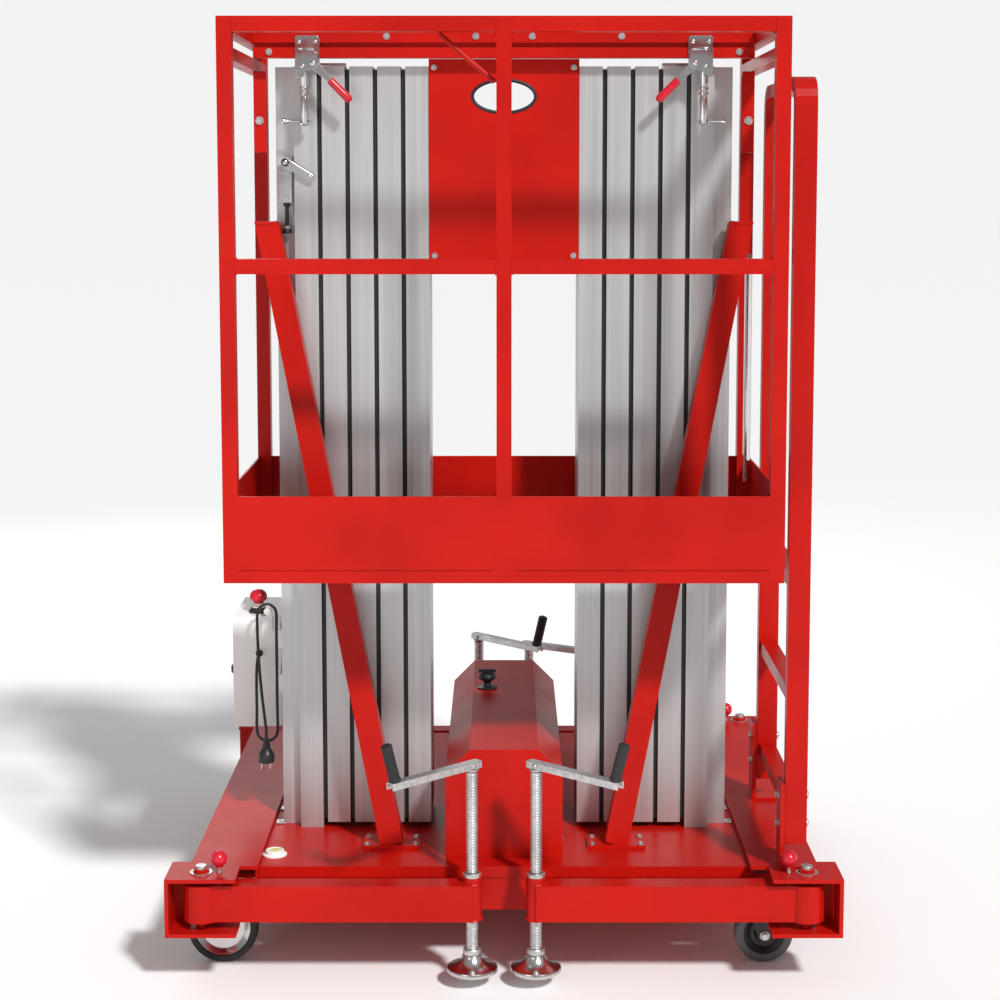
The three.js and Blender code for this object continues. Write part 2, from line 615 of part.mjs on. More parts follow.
for (const [end, e] of ENDS) {
  for (const [side, s] of SIDES) {
    const name = `${end}_${side}`;
    add(`${name}_outrigger_arm`, 'red_paint', outriggerArm(s, e));
    add(`${name}_lock_pin`, 'red_plastic', join(
      cylinder('z', [s * LOCK_PIN_X, e * PIVOT.y], LOCK_PIN.tip, LOCK_PIN.ball, LOCK_PIN.r, 8),
      solid(new THREE.SphereGeometry(LOCK_PIN.ballR, 12, 8)
        .translate(s * LOCK_PIN_X, e * PIVOT.y, LOCK_PIN.ball)),
    ));
    add(`${name}_jack_leg`, 'zinc', jackLeg(name, s, e));
    add(`${name}_jack_crank`, 'zinc', crank(name, s, e));
  }
}

// ---- castors: swivelling on the left, fixed on the right, all rolling along X ----
const FORK = { half: 27, plate: 4 };

function wheel(x, y, r) {
  const half = 19;
  return cut(
    join(cylinder('y', [x, r], y - half, y + half, r, 32),
      cylinder('y', [x, r], y - half - 3, y + half + 3, 16)),
    cylinder('y', [x, r], y - 40, y + 40, 6.5),
  );
}

function forkSides(x, y, r, crownZ, reachX) {
  return [-1, 1].map((side) => {
    const outer = y + side * FORK.half;
    const inner = y + side * (FORK.half - FORK.plate);
    const outline = new THREE.Shape([
      new THREE.Vector2(x - 14, r - 14), new THREE.Vector2(x + 14, r - 14),
      new THREE.Vector2(reachX + 32, crownZ), new THREE.Vector2(reachX - 32, crownZ),
    ]);
    const shape = new THREE.ExtrudeGeometry(outline, { depth: FORK.plate, bevelEnabled: false });
    shape.rotateX(Math.PI / 2);
    shape.translate(0, Math.max(outer, inner), 0);
    return solid(shape);
  });
}

for (const [end, e] of ENDS) {
  const y = e * CASTER_Y;
  const leftCrown = 2 * BIG_WHEEL_R + 4;
  add(`left_${end}_caster_fork`, 'zinc', join(
    forkSides(-WHEEL_X, y, BIG_WHEEL_R, leftCrown + 4, -SWIVEL_X),
    box([-SWIVEL_X - 32, -SWIVEL_X + 32], [y - FORK.half, y + FORK.half], [leftCrown, leftCrown + 6]),
    cylinder('z', [-SWIVEL_X, y], leftCrown + 5, CASTER_PLATE_Z[0] - GAP, 28, 24),
    cylinder('y', [-WHEEL_X, BIG_WHEEL_R], y - 31, y + 31, 6, 16),
  ));
  add(`left_${end}_wheel`, 'black_tyre', wheel(-WHEEL_X, y, BIG_WHEEL_R));
  const rightCrown = 2 * SMALL_WHEEL_R + 6;
  const rightX = WHEEL_X - 45;
  add(`right_${end}_caster_fork`, 'black_plastic', join(
    forkSides(rightX, y, SMALL_WHEEL_R, rightCrown + 4, rightX),
    box([rightX - 32, rightX + 32], [y - FORK.half, y + FORK.half],
      [rightCrown, CASTER_PLATE_Z[0] - GAP]),
    cylinder('y', [rightX, SMALL_WHEEL_R], y - 31, y + 31, 6, 16),
  ));
  add(`right_${end}_wheel`, 'grey_tyre', wheel(rightX, y, SMALL_WHEEL_R));
}

// ---- mains lead, hung in a hank on a peg beside the control box ----
const LEAD_RADIUS = 3.3;
const LEAD_SIDES = 8;
const LEAD_ROUTE = [
  [-553, -164.2, 600], [-553, -172, 600], [-553.5, -185, 596.5], [-554, -194.5, 587], [-555, -198, 574],
  [-556, -198, 540], [-556, -198, 480], [-556, -198, 430], [-553, -198, 418.5], [-544.5, -198, 410],
  [-533, -198, 407], [-521.5, -198, 410], [-513, -198, 418.5], [-510, -198, 430], [-510, -198, 500],
  [-510, -198, 600], [-510, -198, 660], [-510, -198, 698], [-512.7, -199, 709], [-520.3, -200.5, 717.3],
  [-530.5, -202.5, 720.3], [-540.7, -204.5, 717.3], [-548.3, -206, 709], [-551, -207.5, 698],
  [-551, -210, 650], [-547, -212, 570], [-541, -212, 500], [-536, -212, 455], [-534, -212, 436],
  [-534, -212, 420],
];

function leadTube() {
  const curve = new THREE.CatmullRomCurve3(LEAD_ROUTE.map((p) => new THREE.Vector3(...p)));
  const section = new THREE.Shape(Array.from({ length: LEAD_SIDES }, (_, i) => {
    const angle = i / LEAD_SIDES * Math.PI * 2;
    return new THREE.Vector2(LEAD_RADIUS * Math.cos(angle), LEAD_RADIUS * Math.sin(angle));
  }));
  return solid(new THREE.ExtrudeGeometry(section,
    { steps: 70, extrudePath: curve, bevelEnabled: false }));
}

add('mains_lead', 'black_plastic', leadTube());
const [plugX, plugY, plugZ] = LEAD_ROUTE[LEAD_ROUTE.length - 1];
add('mains_plug', 'black_plastic', join(
  turned([[0, plugZ - 58], [18, plugZ - 58], [18, plugZ - 34], [10, plugZ - 22], [6, plugZ - 0.5],
    [0, plugZ - 0.5]], plugX, plugY, 20),
  [-9.5, 9.5].map((dx) => cylinder('z', [plugX + dx, plugY], plugZ - 76, plugZ - 57, 2.4, 10)),
));

export default model;
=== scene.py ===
# A two-mast aluminium work platform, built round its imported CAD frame. Metres, +Z up, front towards -Y.
import json
import math

import bmesh
import bpy
from mathutils import Matrix, Vector


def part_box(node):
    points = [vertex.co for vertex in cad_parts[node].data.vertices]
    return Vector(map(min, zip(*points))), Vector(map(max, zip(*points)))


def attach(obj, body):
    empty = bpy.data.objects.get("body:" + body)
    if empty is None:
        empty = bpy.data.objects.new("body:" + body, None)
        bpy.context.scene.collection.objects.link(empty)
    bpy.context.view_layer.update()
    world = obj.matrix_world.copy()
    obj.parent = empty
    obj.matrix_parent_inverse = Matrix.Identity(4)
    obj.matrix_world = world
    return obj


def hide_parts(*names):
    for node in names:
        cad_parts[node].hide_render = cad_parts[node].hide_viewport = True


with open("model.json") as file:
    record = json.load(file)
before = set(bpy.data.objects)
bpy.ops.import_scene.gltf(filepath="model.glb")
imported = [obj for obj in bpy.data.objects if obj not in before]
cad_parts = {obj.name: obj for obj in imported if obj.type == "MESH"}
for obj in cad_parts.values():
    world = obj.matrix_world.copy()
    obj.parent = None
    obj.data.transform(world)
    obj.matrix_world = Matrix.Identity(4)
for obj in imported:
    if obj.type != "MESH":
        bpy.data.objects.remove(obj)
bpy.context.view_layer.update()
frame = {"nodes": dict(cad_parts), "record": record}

SIDES = (("left", -1), ("right", 1))
ENDS = (("front", -1), ("rear", 1))
CORNERS = [f"{end}_{side}" for end, _ in ENDS for side, _ in SIDES]

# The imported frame's origin lies this far in front of the drawing's, so a drawing's Y gets it added.
DRAWING_Y = 0.0614


def middle(node):
    low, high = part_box(node)
    return (low + high) / 2


# ---- camera ----
CAMERA_HEIGHT = 1.646
CAMERA_BACK = -4.589
LENS = 72.8
SENSOR = 36
CAMERA_PITCH = math.radians(5.99)
CAMERA_SHIFT = (-0.004, -0.10)


def make_camera():
    data = bpy.data.cameras.new("camera")
    data.lens = LENS
    data.sensor_width = SENSOR
    data.shift_x, data.shift_y = CAMERA_SHIFT
    camera = bpy.data.objects.new("camera", data)
    camera.location = (0, CAMERA_BACK, CAMERA_HEIGHT)
    camera.rotation_euler = (math.pi / 2 - CAMERA_PITCH, 0, 0)
    bpy.context.collection.objects.link(camera)
    bpy.context.scene.camera = camera


make_camera()


# ---- floor and light ----
FLOOR_SIZE = 400
FLOOR_COLOUR = (0.99, 0.99, 0.99)
FLOOR_ROUGHNESS = 0.9
AMBIENT = 0.30
BACKDROP = 0.895
SUN_STRENGTH = 3.1
SUN_SOFTNESS = 6
SUN_FROM = (1.0, -1.75, 1.75)
LIGHT_AIM = Vector((0, 0, 0.9))
LIGHTS = (
    ("front_light", (-2.4, -4.2, 1.6), (2.0, 1.6), 16),
    ("back_light", (-1.5, 4.5, 3.0), (2.5, 2.0), 40),
)


def make_floor():
    bpy.ops.mesh.primitive_plane_add(size=FLOOR_SIZE, location=(0, 0, 0))
    floor = bpy.context.object
    floor.name = "floor"
    floor.data.materials.append(plain("floor_paint", FLOOR_COLOUR, FLOOR_ROUGHNESS))


def make_world():
    """Soft light from all round, and a backdrop as bright as the far floor."""
    world = bpy.data.worlds.new("studio")
    world.use_nodes = True
    tree = world.node_tree
    ambient = tree.nodes["Background"]
    ambient.inputs["Color"].default_value = (1, 1, 1, 1)
    ambient.inputs["Strength"].default_value = AMBIENT
    backdrop = node(tree, "ShaderNodeBackground")
    backdrop.inputs["Strength"].default_value = BACKDROP
    backdrop.inputs["Color"].default_value = (1, 1, 1, 1)
    path = node(tree, "ShaderNodeLightPath")
    choice = node(tree, "ShaderNodeMixShader")
    tree.links.new(path.outputs["Is Camera Ray"], choice.inputs["Fac"])
    tree.links.new(ambient.outputs["Background"], choice.inputs[1])
    tree.links.new(backdrop.outputs["Background"], choice.inputs[2])
    tree.links.new(choice.outputs["Shader"], tree.nodes["World Output"].inputs["Surface"])
    bpy.context.scene.world = world


def add_light(data, place, toward):
    light = bpy.data.objects.new(data.name, data)
    light.location = place
    light.rotation_euler = toward.to_track_quat("-Z", "Y").to_euler()
    bpy.context.collection.objects.link(light)


def make_lights():
    sun = bpy.data.lights.new("sun", "SUN")
    sun.energy = SUN_STRENGTH
    sun.angle = math.radians(SUN_SOFTNESS)
    add_light(sun, (0, 0, 0), -Vector(SUN_FROM))
    for name, place, size, power in LIGHTS:
        panel = bpy.data.lights.new(name, "AREA")
        panel.shape = "RECTANGLE"
        panel.size, panel.size_y = size
        panel.energy = power
        add_light(panel, place, LIGHT_AIM - Vector(place))


def make_stage():
    make_floor()
    make_world()
    make_lights()
    bpy.context.scene.view_settings.view_transform = "Standard"


# ---- materials ----
def new_material(name):
    material = bpy.data.materials.new(name)
    material.use_nodes = True
    return material, material.node_tree, material.node_tree.nodes["Principled BSDF"]


def plain(name, colour, roughness):
    material, _, shader = new_material(name)
    shader.inputs["Base Color"].default_value = (*colour, 1)
    shader.inputs["Roughness"].default_value = roughness
    return material


def node(tree, kind, **settings):
    made = tree.nodes.new(kind)
    for key, value in settings.items():
        setattr(made, key, value)
    return made


def noise(tree, scale, detail=3.0, stretch=(1, 1, 1)):
    place = node(tree, "ShaderNodeTexCoord")
    shape = node(tree, "ShaderNodeMapping")
    shape.inputs["Scale"].default_value = stretch
    tree.links.new(place.outputs["Object"], shape.inputs["Vector"])
    made = node(tree, "ShaderNodeTexNoise")
    made.inputs["Scale"].default_value = scale
    made.inputs["Detail"].default_value = detail
    tree.links.new(shape.outputs["Vector"], made.inputs["Vector"])
    return made.outputs["Fac"]


def ramp(tree, value, stops):
    made = node(tree, "ShaderNodeValToRGB")
    made.color_ramp.elements[0].position = stops[0][0]
    made.color_ramp.elements[1].position = stops[-1][0]
    made.color_ramp.elements[0].color = (*stops[0][1], 1)
    made.color_ramp.elements[1].color = (*stops[-1][1], 1)
    for place, colour in stops[1:-1]:
        made.color_ramp.elements.new(place).color = (*colour, 1)
    tree.links.new(value, made.inputs["Fac"])
    return made.outputs["Color"]


def scaled(tree, value, low, high):
    made = node(tree, "ShaderNodeMapRange")
    made.inputs["To Min"].default_value = low
    made.inputs["To Max"].default_value = high
    tree.links.new(value, made.inputs["Value"])
    return made.outputs["Result"]


def bump(tree, shader, height, strength, distance=0.001):
    made = node(tree, "ShaderNodeBump")
    made.inputs["Strength"].default_value = strength
    made.inputs["Distance"].default_value = distance
    tree.links.new(height, made.inputs["Height"])
    tree.links.new(made.outputs["Normal"], shader.inputs["Normal"])


def grey(value):
    return (value, value, value)


def mixed(tree, factor, first, second):
    made = node(tree, "ShaderNodeMix", data_type="RGBA")
    tree.links.new(factor, made.inputs["Factor"])
    for socket, value in (("A", first), ("B", second)):
        target = [i for i in made.inputs if i.name == socket and i.type == "RGBA"][0]
        if isinstance(value, tuple):
            target.default_value = (*value, 1)
        else:
            tree.links.new(value, target)
    return [o for o in made.outputs if o.type == "RGBA"][0]


# Gloss enamel over steel: slight orange peel, uneven tone, a few small dull chips.
def enamel(name, light, dark, chip):
    material, tree, shader = new_material(name)
    tone = ramp(tree, noise(tree, 3.5, 5), [(0.32, dark), (0.62, light)])
    chips = ramp(tree, noise(tree, 95, 2), [(0.735, grey(0)), (0.755, grey(1))])
    tree.links.new(mixed(tree, scaled(tree, chips, 0, 0.7), tone, chip), shader.inputs["Base Color"])
    tree.links.new(scaled(tree, noise(tree, 9, 4), 0.24, 0.42), shader.inputs["Roughness"])
    shader.inputs["Specular IOR Level"].default_value = 0.16
    bump(tree, shader, noise(tree, 260, 2), 0.10, 0.0006)
    return material


# Drawn aluminium: fine lines along Z, faint handling marks and a soft sheen.
def extruded():
    material, tree, shader = new_material("extruded_aluminium")
    lines = noise(tree, 90, 4, (1, 1, 0.012))
    smears = noise(tree, 2.2, 5, (1, 1, 0.5))
    base = ramp(tree, lines, [(0.30, (0.47, 0.472, 0.475)), (0.70, (0.60, 0.602, 0.602))])
    shade = ramp(tree, smears, [(0.30, grey(0.0)), (0.72, grey(1.0))])
    tree.links.new(mixed(tree, scaled(tree, shade, 0, 0.35), base, (0.64, 0.64, 0.635)),
                   shader.inputs["Base Color"])
    shader.inputs["Metallic"].default_value = 0.72
    tree.links.new(scaled(tree, lines, 0.34, 0.52), shader.inputs["Roughness"])
    bump(tree, shader, lines, 0.22, 0.0005)
    return material


# Bright zinc plate with a crystalline cloud and dulled patches.
def zinc():
    material, tree, shader = new_material("zinc_plate")
    cells = node(tree, "ShaderNodeTexVoronoi")
    cells.inputs["Scale"].default_value = 110
    place = node(tree, "ShaderNodeTexCoord")
    tree.links.new(place.outputs["Object"], cells.inputs["Vector"])
    tone = ramp(tree, cells.outputs["Distance"], [(0.1, (0.50, 0.51, 0.52)), (0.7, (0.70, 0.70, 0.69))])
    dull = ramp(tree, noise(tree, 14, 5), [(0.45, grey(0)), (0.70, grey(1))])
    tree.links.new(mixed(tree, scaled(tree, dull, 0, 0.55), tone, (0.42, 0.42, 0.41)),
                   shader.inputs["Base Color"])
    shader.inputs["Metallic"].default_value = 0.9
    tree.links.new(scaled(tree, noise(tree, 25, 5), 0.24, 0.46), shader.inputs["Roughness"])
    bump(tree, shader, noise(tree, 120, 4), 0.12, 0.0006)
    return material


def polished(name, colour, low, high):
    material, tree, shader = new_material(name)
    tree.links.new(ramp(tree, noise(tree, 20, 4), [(0.3, tuple(c * 0.86 for c in colour)), (0.7, colour)]),
                   shader.inputs["Base Color"])
    shader.inputs["Metallic"].default_value = 1.0
    tree.links.new(scaled(tree, noise(tree, 40, 4), low, high), shader.inputs["Roughness"])
    bump(tree, shader, noise(tree, 200, 3), 0.05, 0.0004)
    return material


def moulded(name, light, dark, rough, grain):
    material, tree, shader = new_material(name)
    tree.links.new(ramp(tree, noise(tree, 12, 5), [(0.35, dark), (0.65, light)]), shader.inputs["Base Color"])
    tree.links.new(scaled(tree, noise(tree, 40, 3), rough - 0.07, rough + 0.09), shader.inputs["Roughness"])
    bump(tree, shader, noise(tree, grain, 3), 0.16, 0.0004)
    return material


# Floor plate: bare grey steel, scuffed where feet and tools go.
def scuffed():
    material, tree, shader = new_material("deck_steel")
    scratches = ramp(tree, noise(tree, 34, 6, (0.1, 1, 1)), [(0.55, grey(0)), (0.62, grey(1))])
    base = ramp(tree, noise(tree, 5, 5), [(0.35, (0.20, 0.205, 0.21)), (0.68, (0.34, 0.345, 0.35))])
    tree.links.new(mixed(tree, scaled(tree, scratches, 0, 0.5), base, (0.55, 0.55, 0.55)),
                   shader.inputs["Base Color"])
    shader.inputs["Metallic"].default_value = 0.7
    tree.links.new(scaled(tree, noise(tree, 20, 5), 0.38, 0.62), shader.inputs["Roughness"])
    bump(tree, shader, scratches, 0.15, 0.0004)
    return material


RED = enamel("red_enamel", (0.52, 0.0080, 0.0036), (0.42, 0.0055, 0.0028), (0.20, 0.030, 0.024))
ALUMINIUM = extruded()
ZINC = zinc()
CHROME = polished("chrome_plate", (0.80, 0.80, 0.81), 0.06, 0.20)
POLISHED = polished("turned_steel", (0.70, 0.70, 0.69), 0.14, 0.30)
RED_PLASTIC = moulded("red_moulding", (0.66, 0.012, 0.030), (0.50, 0.008, 0.020), 0.24, 300)
BLACK_PLASTIC = moulded("black_moulding", (0.020, 0.020, 0.021), (0.011, 0.011, 0.012), 0.42, 420)
BLACK_RUBBER = moulded("black_rubber", (0.022, 0.022, 0.022), (0.012, 0.012, 0.012), 0.62, 160)
GREY_RUBBER = moulded("grey_rubber", (0.135, 0.14, 0.142), (0.085, 0.088, 0.09), 0.58, 160)
BOX_PAINT = enamel("pale_box_paint", (0.90, 0.90, 0.885), (0.82, 0.82, 0.805), (0.60, 0.60, 0.59))
DECK = scuffed()
# Near-black material for the ring round the hand hole: painted shade standing in for the hole's shaded inner
# wall.
HOLE_PAINTED_SHADE = moulded("hole_wall_painted_shade", (0.012, 0.012, 0.012), (0.006, 0.006, 0.006), 0.5, 200)
VIAL = moulded("level_vial", (0.70, 0.62, 0.16), (0.60, 0.52, 0.10), 0.12, 80)

SLOT_MATERIAL = {
    "red_paint": RED, "aluminium": ALUMINIUM, "zinc_steel": ZINC, "chrome": CHROME,
    "red_plastic": RED_PLASTIC, "black_plastic": BLACK_PLASTIC, "black_tyre": BLACK_RUBBER,
    "grey_tyre": GREY_RUBBER, "box_grey": BOX_PAINT,
}

make_stage()


# ---- CAD nodes that stay: a material and rolled edges ----
EDGE_ANGLE = math.radians(32)
EDGE_ROUND = {
    "chassis_frame": 0.0022, "base_plate": 0.0009, "power_pack_hood": 0.0009, "pump_motor": 0.0015,
    "oil_tank": 0.003, "left_brace": 0.004, "right_brace": 0.004, "ladder": 0.005, "basket_frame": 0.0018,
    "head_beam": 0.0025, "centre_plate": 0.0011, "platform_deck": 0.0012, "control_box": 0.005,
    "gate_bar": 0.0009,
}
ARM_ROUND = 0.0045
OTHER_ROUND = 0.0009


def roll_edges(piece, width):
    rounded = piece.modifiers.new("rolled_edges", "BEVEL")
    rounded.width = width
    rounded.segments = 2
    rounded.limit_method = "ANGLE"
    rounded.angle_limit = EDGE_ANGLE


def dress_frame():
    for part in frame["record"]["subparts"]:
        name = part["node"]
        piece = frame["nodes"][name]
        material = DECK if name == "platform_deck" else SLOT_MATERIAL[part["material_slot"]]
        piece.data.materials.clear()
        piece.data.materials.append(material)
        width = ARM_ROUND if name.endswith("outrigger_arm") else EDGE_ROUND.get(name, OTHER_ROUND)
        roll_edges(piece, width)


dress_frame()


# ---- mesh tools ----
UP = Vector((0, 0, 1))
X_AXIS = Vector((1, 0, 0))
Y_AXIS = Vector((0, 1, 0))


class Piece:
    """One visible piece: its geometry is gathered here, then made into an object that rides on a body.

    It wears its slot's own material unless it is given another.
    """

    def __init__(self, name, body, slot, material=None):
        self.name = name
        self.body = body
        self.slot = slot
        self.material = material or SLOT_MATERIAL[slot]
        self.mesh = bmesh.new()

    def lathe(self, profile, centre, axis=UP, steps=40):
        """A turned shape from (radius, height) pairs. A profile that ends where it starts is a ring."""
        turn = Vector(axis).to_track_quat("Z", "Y")
        centre = Vector(centre)
        closed = profile[0] == profile[-1]
        rings = []
        for radius, height in profile[:-1] if closed else profile:
            if radius == 0:
                rings.append([self.mesh.verts.new(centre + turn @ Vector((0, 0, height)))])
                continue
            ring = []
            for i in range(steps):
                angle = 2 * math.pi * i / steps
                spot = Vector((radius * math.cos(angle), radius * math.sin(angle), height))
                ring.append(self.mesh.verts.new(centre + turn @ spot))
            rings.append(ring)
        pairs = list(zip(rings, rings[1:]))
        if closed:
            pairs.append((rings[-1], rings[0]))
        for low, high in pairs:
            self.skin(low, high)
        return self

    def skin(self, low, high):
        steps = max(len(low), len(high))
        for i in range(steps):
            corners = [low[i % len(low)], low[(i + 1) % len(low)],
                       high[(i + 1) % len(high)], high[i % len(high)]]
            face = list(dict.fromkeys(corners))
            if len(face) > 2:
                self.mesh.faces.new(face)

    def block(self, low, high):
        """A box between two corners."""
        v = [self.mesh.verts.new((x, y, z)) for z in (low[2], high[2]) for y in (low[1], high[1])
             for x in (low[0], high[0])]
        for face in ((0, 2, 3, 1), (4, 5, 7, 6), (0, 1, 5, 4), (2, 6, 7, 3), (0, 4, 6, 2), (1, 3, 7, 5)):
            self.mesh.faces.new([v[i] for i in face])
        return self

    def plate(self, outline, origin, across, along, thickness):
        """An outline in the plane of across and along, as thick as it says, centred on that plane."""
        across, along, origin = Vector(across), Vector(along), Vector(origin)
        out = across.cross(along).normalized() * thickness / 2
        near = [self.mesh.verts.new(origin + across * a + along * b - out) for a, b in outline]
        far = [self.mesh.verts.new(origin + across * a + along * b + out) for a, b in outline]
        self.mesh.faces.new(near)
        self.mesh.faces.new(far)
        self.skin(near, far)
        return self

    def sweep(self, points, radius, sides=12, lumps=0.0):
        """A round bar along a path, with lumps as a share of its radius for a weld bead."""
        points = [Vector(p) for p in points]
        rings = []
        side = None
        for i, point in enumerate(points):
            ahead = (points[min(i + 1, len(points) - 1)] - points[max(i - 1, 0)]).normalized()
            if side is None:
                side = ahead.orthogonal().normalized()
            side = (side - ahead * side.dot(ahead)).normalized()
            other = ahead.cross(side)
            r = radius * (1 + lumps * math.sin(i * 2.1))
            rings.append([self.mesh.verts.new(point + (side * math.cos(a) + other * math.sin(a)) * r)
                          for a in (2 * math.pi * k / sides for k in range(sides))])
        for low, high in zip(rings, rings[1:]):
            self.skin(low, high)
        self.mesh.faces.new(rings[0])
        self.mesh.faces.new(rings[-1])
        return self

    def thread(self, centre, bottom, top, radius, pitch, depth, steps=20, rows=4):
        """A screw along +Z: each ring's radius follows the helix."""
        count = int((top - bottom) / pitch * rows)
        rings = []
        for j in range(count + 1):
            z = bottom + (top - bottom) * j / count
            ring = []
            for i in range(steps):
                phase = (j / rows - i / steps) % 1
                r = radius - depth * abs(2 * phase - 1)
                angle = 2 * math.pi * i / steps
                spot = Vector((r * math.cos(angle), r * math.sin(angle), z))
                ring.append(self.mesh.verts.new(Vector((centre[0], centre[1], 0)) + spot))
            rings.append(ring)
        for low, high in zip(rings, rings[1:]):
            self.skin(low, high)
        self.mesh.faces.new(rings[0])
        self.mesh.faces.new(rings[-1])
        return self

    def bolt(self, seat, axis, size):
        """A hexagon head on a washer. The washer touches at seat; size is the radius to a corner."""
        base = size * 0.24
        self.lathe([(0, 0), (size * 1.25, 0), (size * 1.25, size * 0.16), (size * 1.15, base), (0, base)],
                   seat, axis, 28)
        self.lathe([(0, base), (size, base), (size, base + size * 0.55), (size * 0.82, base + size * 0.72),
                    (0, base + size * 0.72)], seat, axis, 6)
        return self

    def rivet(self, seat, axis, radius):
        """A shallow domed head."""
        self.lathe([(0, 0), (radius, 0), (radius * 0.94, radius * 0.30), (radius * 0.6, radius * 0.55),
                    (0, radius * 0.62)], seat, axis, 24)
        return self

    def done(self, bevel=0.0, smooth=38, replaces=()):
        bmesh.ops.recalc_face_normals(self.mesh, faces=self.mesh.faces)
        data = bpy.data.meshes.new(self.name)
        self.mesh.to_mesh(data)
        self.mesh.free()
        data.materials.append(self.material)
        data.polygons.foreach_set("use_smooth", [True] * len(data.polygons))
        data.set_sharp_from_angle(angle=math.radians(smooth))
        made = bpy.data.objects.new(self.name, data)
        bpy.context.collection.objects.link(made)
        if bevel:
            roll_edges(made, bevel)
        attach(made, self.body)
        if replaces:
            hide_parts(*replaces)
        return made


def rounded_box(half_a, half_b, radius, steps=5):
    """The outline of a rectangle with round corners."""
    outline = []
    for quarter, (sa, sb) in enumerate(((1, 1), (-1, 1), (-1, -1), (1, -1))):
        for i in range(steps + 1):
            angle = math.pi / 2 * (quarter + i / steps)
            outline.append((sa * (half_a - radius) + radius * math.cos(angle),
                            sb * (half_b - radius) + radius * math.sin(angle)))
    return outline


def arc(centre, radius, start, end, steps):
    """Points on a circle in a plane, angles in degrees."""
    return [(centre[0] + radius * math.cos(math.radians(start + (end - start) * i / steps)),
             centre[1] + radius * math.sin(math.radians(start + (end - start) * i / steps)))
            for i in range(steps + 1)]


JOINTS = {joint["name"]: joint for joint in frame["record"]["behaviour"]["joints"]}


def joint_at(name):
    return Vector(JOINTS[name]["pos_m"])


# ---- outriggers: lock pins, jacks, cranks and weld beads ----
PIN_RADIUS = 0.005
PIN_NECK_RADIUS = 0.0075
BALL_RADIUS = 0.017
BALL_ROWS = 18
SCREW_RADIUS = 0.0128
THREAD_PITCH = 0.006
THREAD_DEPTH = 0.0016
SCREW_END_LENGTH = 0.020
CRANK_HALF_WIDTH = 0.0105
CRANK_WALL = 0.0025
CRANK_DEPTH = 0.015
CRANK_HEIGHT = 0.0185
CRANK_HEEL = 0.019
CRANK_REACH = 0.222
CRANK_ANGLE = {"front_left": 224, "front_right": 318, "rear_left": 316, "rear_right": 330}
GRIP_RADIUS = 0.0118
GRIP_LENGTH = 0.082
GRIP_LEAN = 0.3
GRIP_INSET = 0.014
GRIP_RIBS = 9
ARM_HALF_HEIGHT = 0.038
SLEEVE_WELD_RADIUS = 0.0205
BOSS_WELD_RADIUS = 0.0345


def lock_pin(corner):
    low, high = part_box(f"{corner}_lock_pin")
    centre = (low + high) / 2
    ball_z = high.z - BALL_RADIUS
    body = f"{corner}_lock_pin"
    ball = Piece(f"{corner}_pin_ball", body, "red_plastic")
    profile = [(0, BALL_RADIUS)]
    for i in range(1, BALL_ROWS):
        angle = math.pi * i / BALL_ROWS
        radius = BALL_RADIUS * math.sin(angle)
        height = BALL_RADIUS * math.cos(angle)
        if radius > PIN_NECK_RADIUS or height > 0:
            profile.append((radius, height))
    profile += [(0.0078, -0.0165), (0.0078, -0.0178), (0, -0.0178)]
    ball.lathe(profile, (centre.x, centre.y, ball_z), UP, 36)
    ball.done(replaces=(f"{corner}_lock_pin",))
    stem = Piece(f"{corner}_pin_stem", body, "zinc_steel")
    stem.lathe([(0, low.z), (0.0036, low.z), (PIN_RADIUS, low.z + 0.002), (PIN_RADIUS, low.z + 0.020),
                (0.0042, low.z + 0.021), (0.0042, ball_z - 0.0179), (0, ball_z - 0.0179)],
               (centre.x, centre.y, 0), UP, 20)
    stem.done()


def jack(corner):
    low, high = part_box(f"{corner}_jack_leg")
    centre = (low + high) / 2
    body = f"{corner}_jack"
    spot = (centre.x, centre.y, 0)
    base = low.z
    foot = Piece(f"{corner}_jack_foot", body, "zinc_steel", POLISHED)
    foot.lathe([(0, base), (0.050, base), (0.0528, base + 0.0025), (0.053, base + 0.0075),
                (0.0515, base + 0.0105), (0.046, base + 0.0125), (0.034, base + 0.0175),
                (0.0235, base + 0.026), (0.0205, base + 0.034), (0.0195, base + 0.036), (0, base + 0.036)],
               spot, UP, 56)
    foot.done()
    collar = Piece(f"{corner}_jack_collar", body, "zinc_steel")
    collar.lathe([(0, base + 0.0363), (0.0175, base + 0.0363), (0.0188, base + 0.0385),
                  (0.0188, base + 0.047), (0.0165, base + 0.050), (0, base + 0.050)], spot, UP, 36)
    collar.done()
    screw = Piece(f"{corner}_jack_screw", body, "zinc_steel")
    screw_top = high.z - SCREW_END_LENGTH
    screw.thread(centre, base + 0.0503, screw_top, SCREW_RADIUS, THREAD_PITCH, THREAD_DEPTH)
    screw.lathe([(0, screw_top + 0.0002), (0.0115, screw_top + 0.0002), (0.0078, screw_top + 0.003),
                 (0.0078, high.z - 0.0015), (0.0066, high.z - 0.0005), (0, high.z - 0.0005)], spot, UP, 24)
    screw.done(smooth=50, replaces=(f"{corner}_jack_leg",))
    nut = Piece(f"{corner}_jack_nut", f"{corner}_outrigger", "zinc_steel")
    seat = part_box(f"{corner}_outrigger_arm")[1].z
    nut.lathe([(0.0142, seat + 0.0002), (0.019, seat + 0.0002), (0.0195, seat + 0.002),
               (0.0195, seat + 0.0075), (0.0175, seat + 0.009), (0.0142, seat + 0.009),
               (0.0142, seat + 0.0002)], spot, UP, 36)
    nut.done()


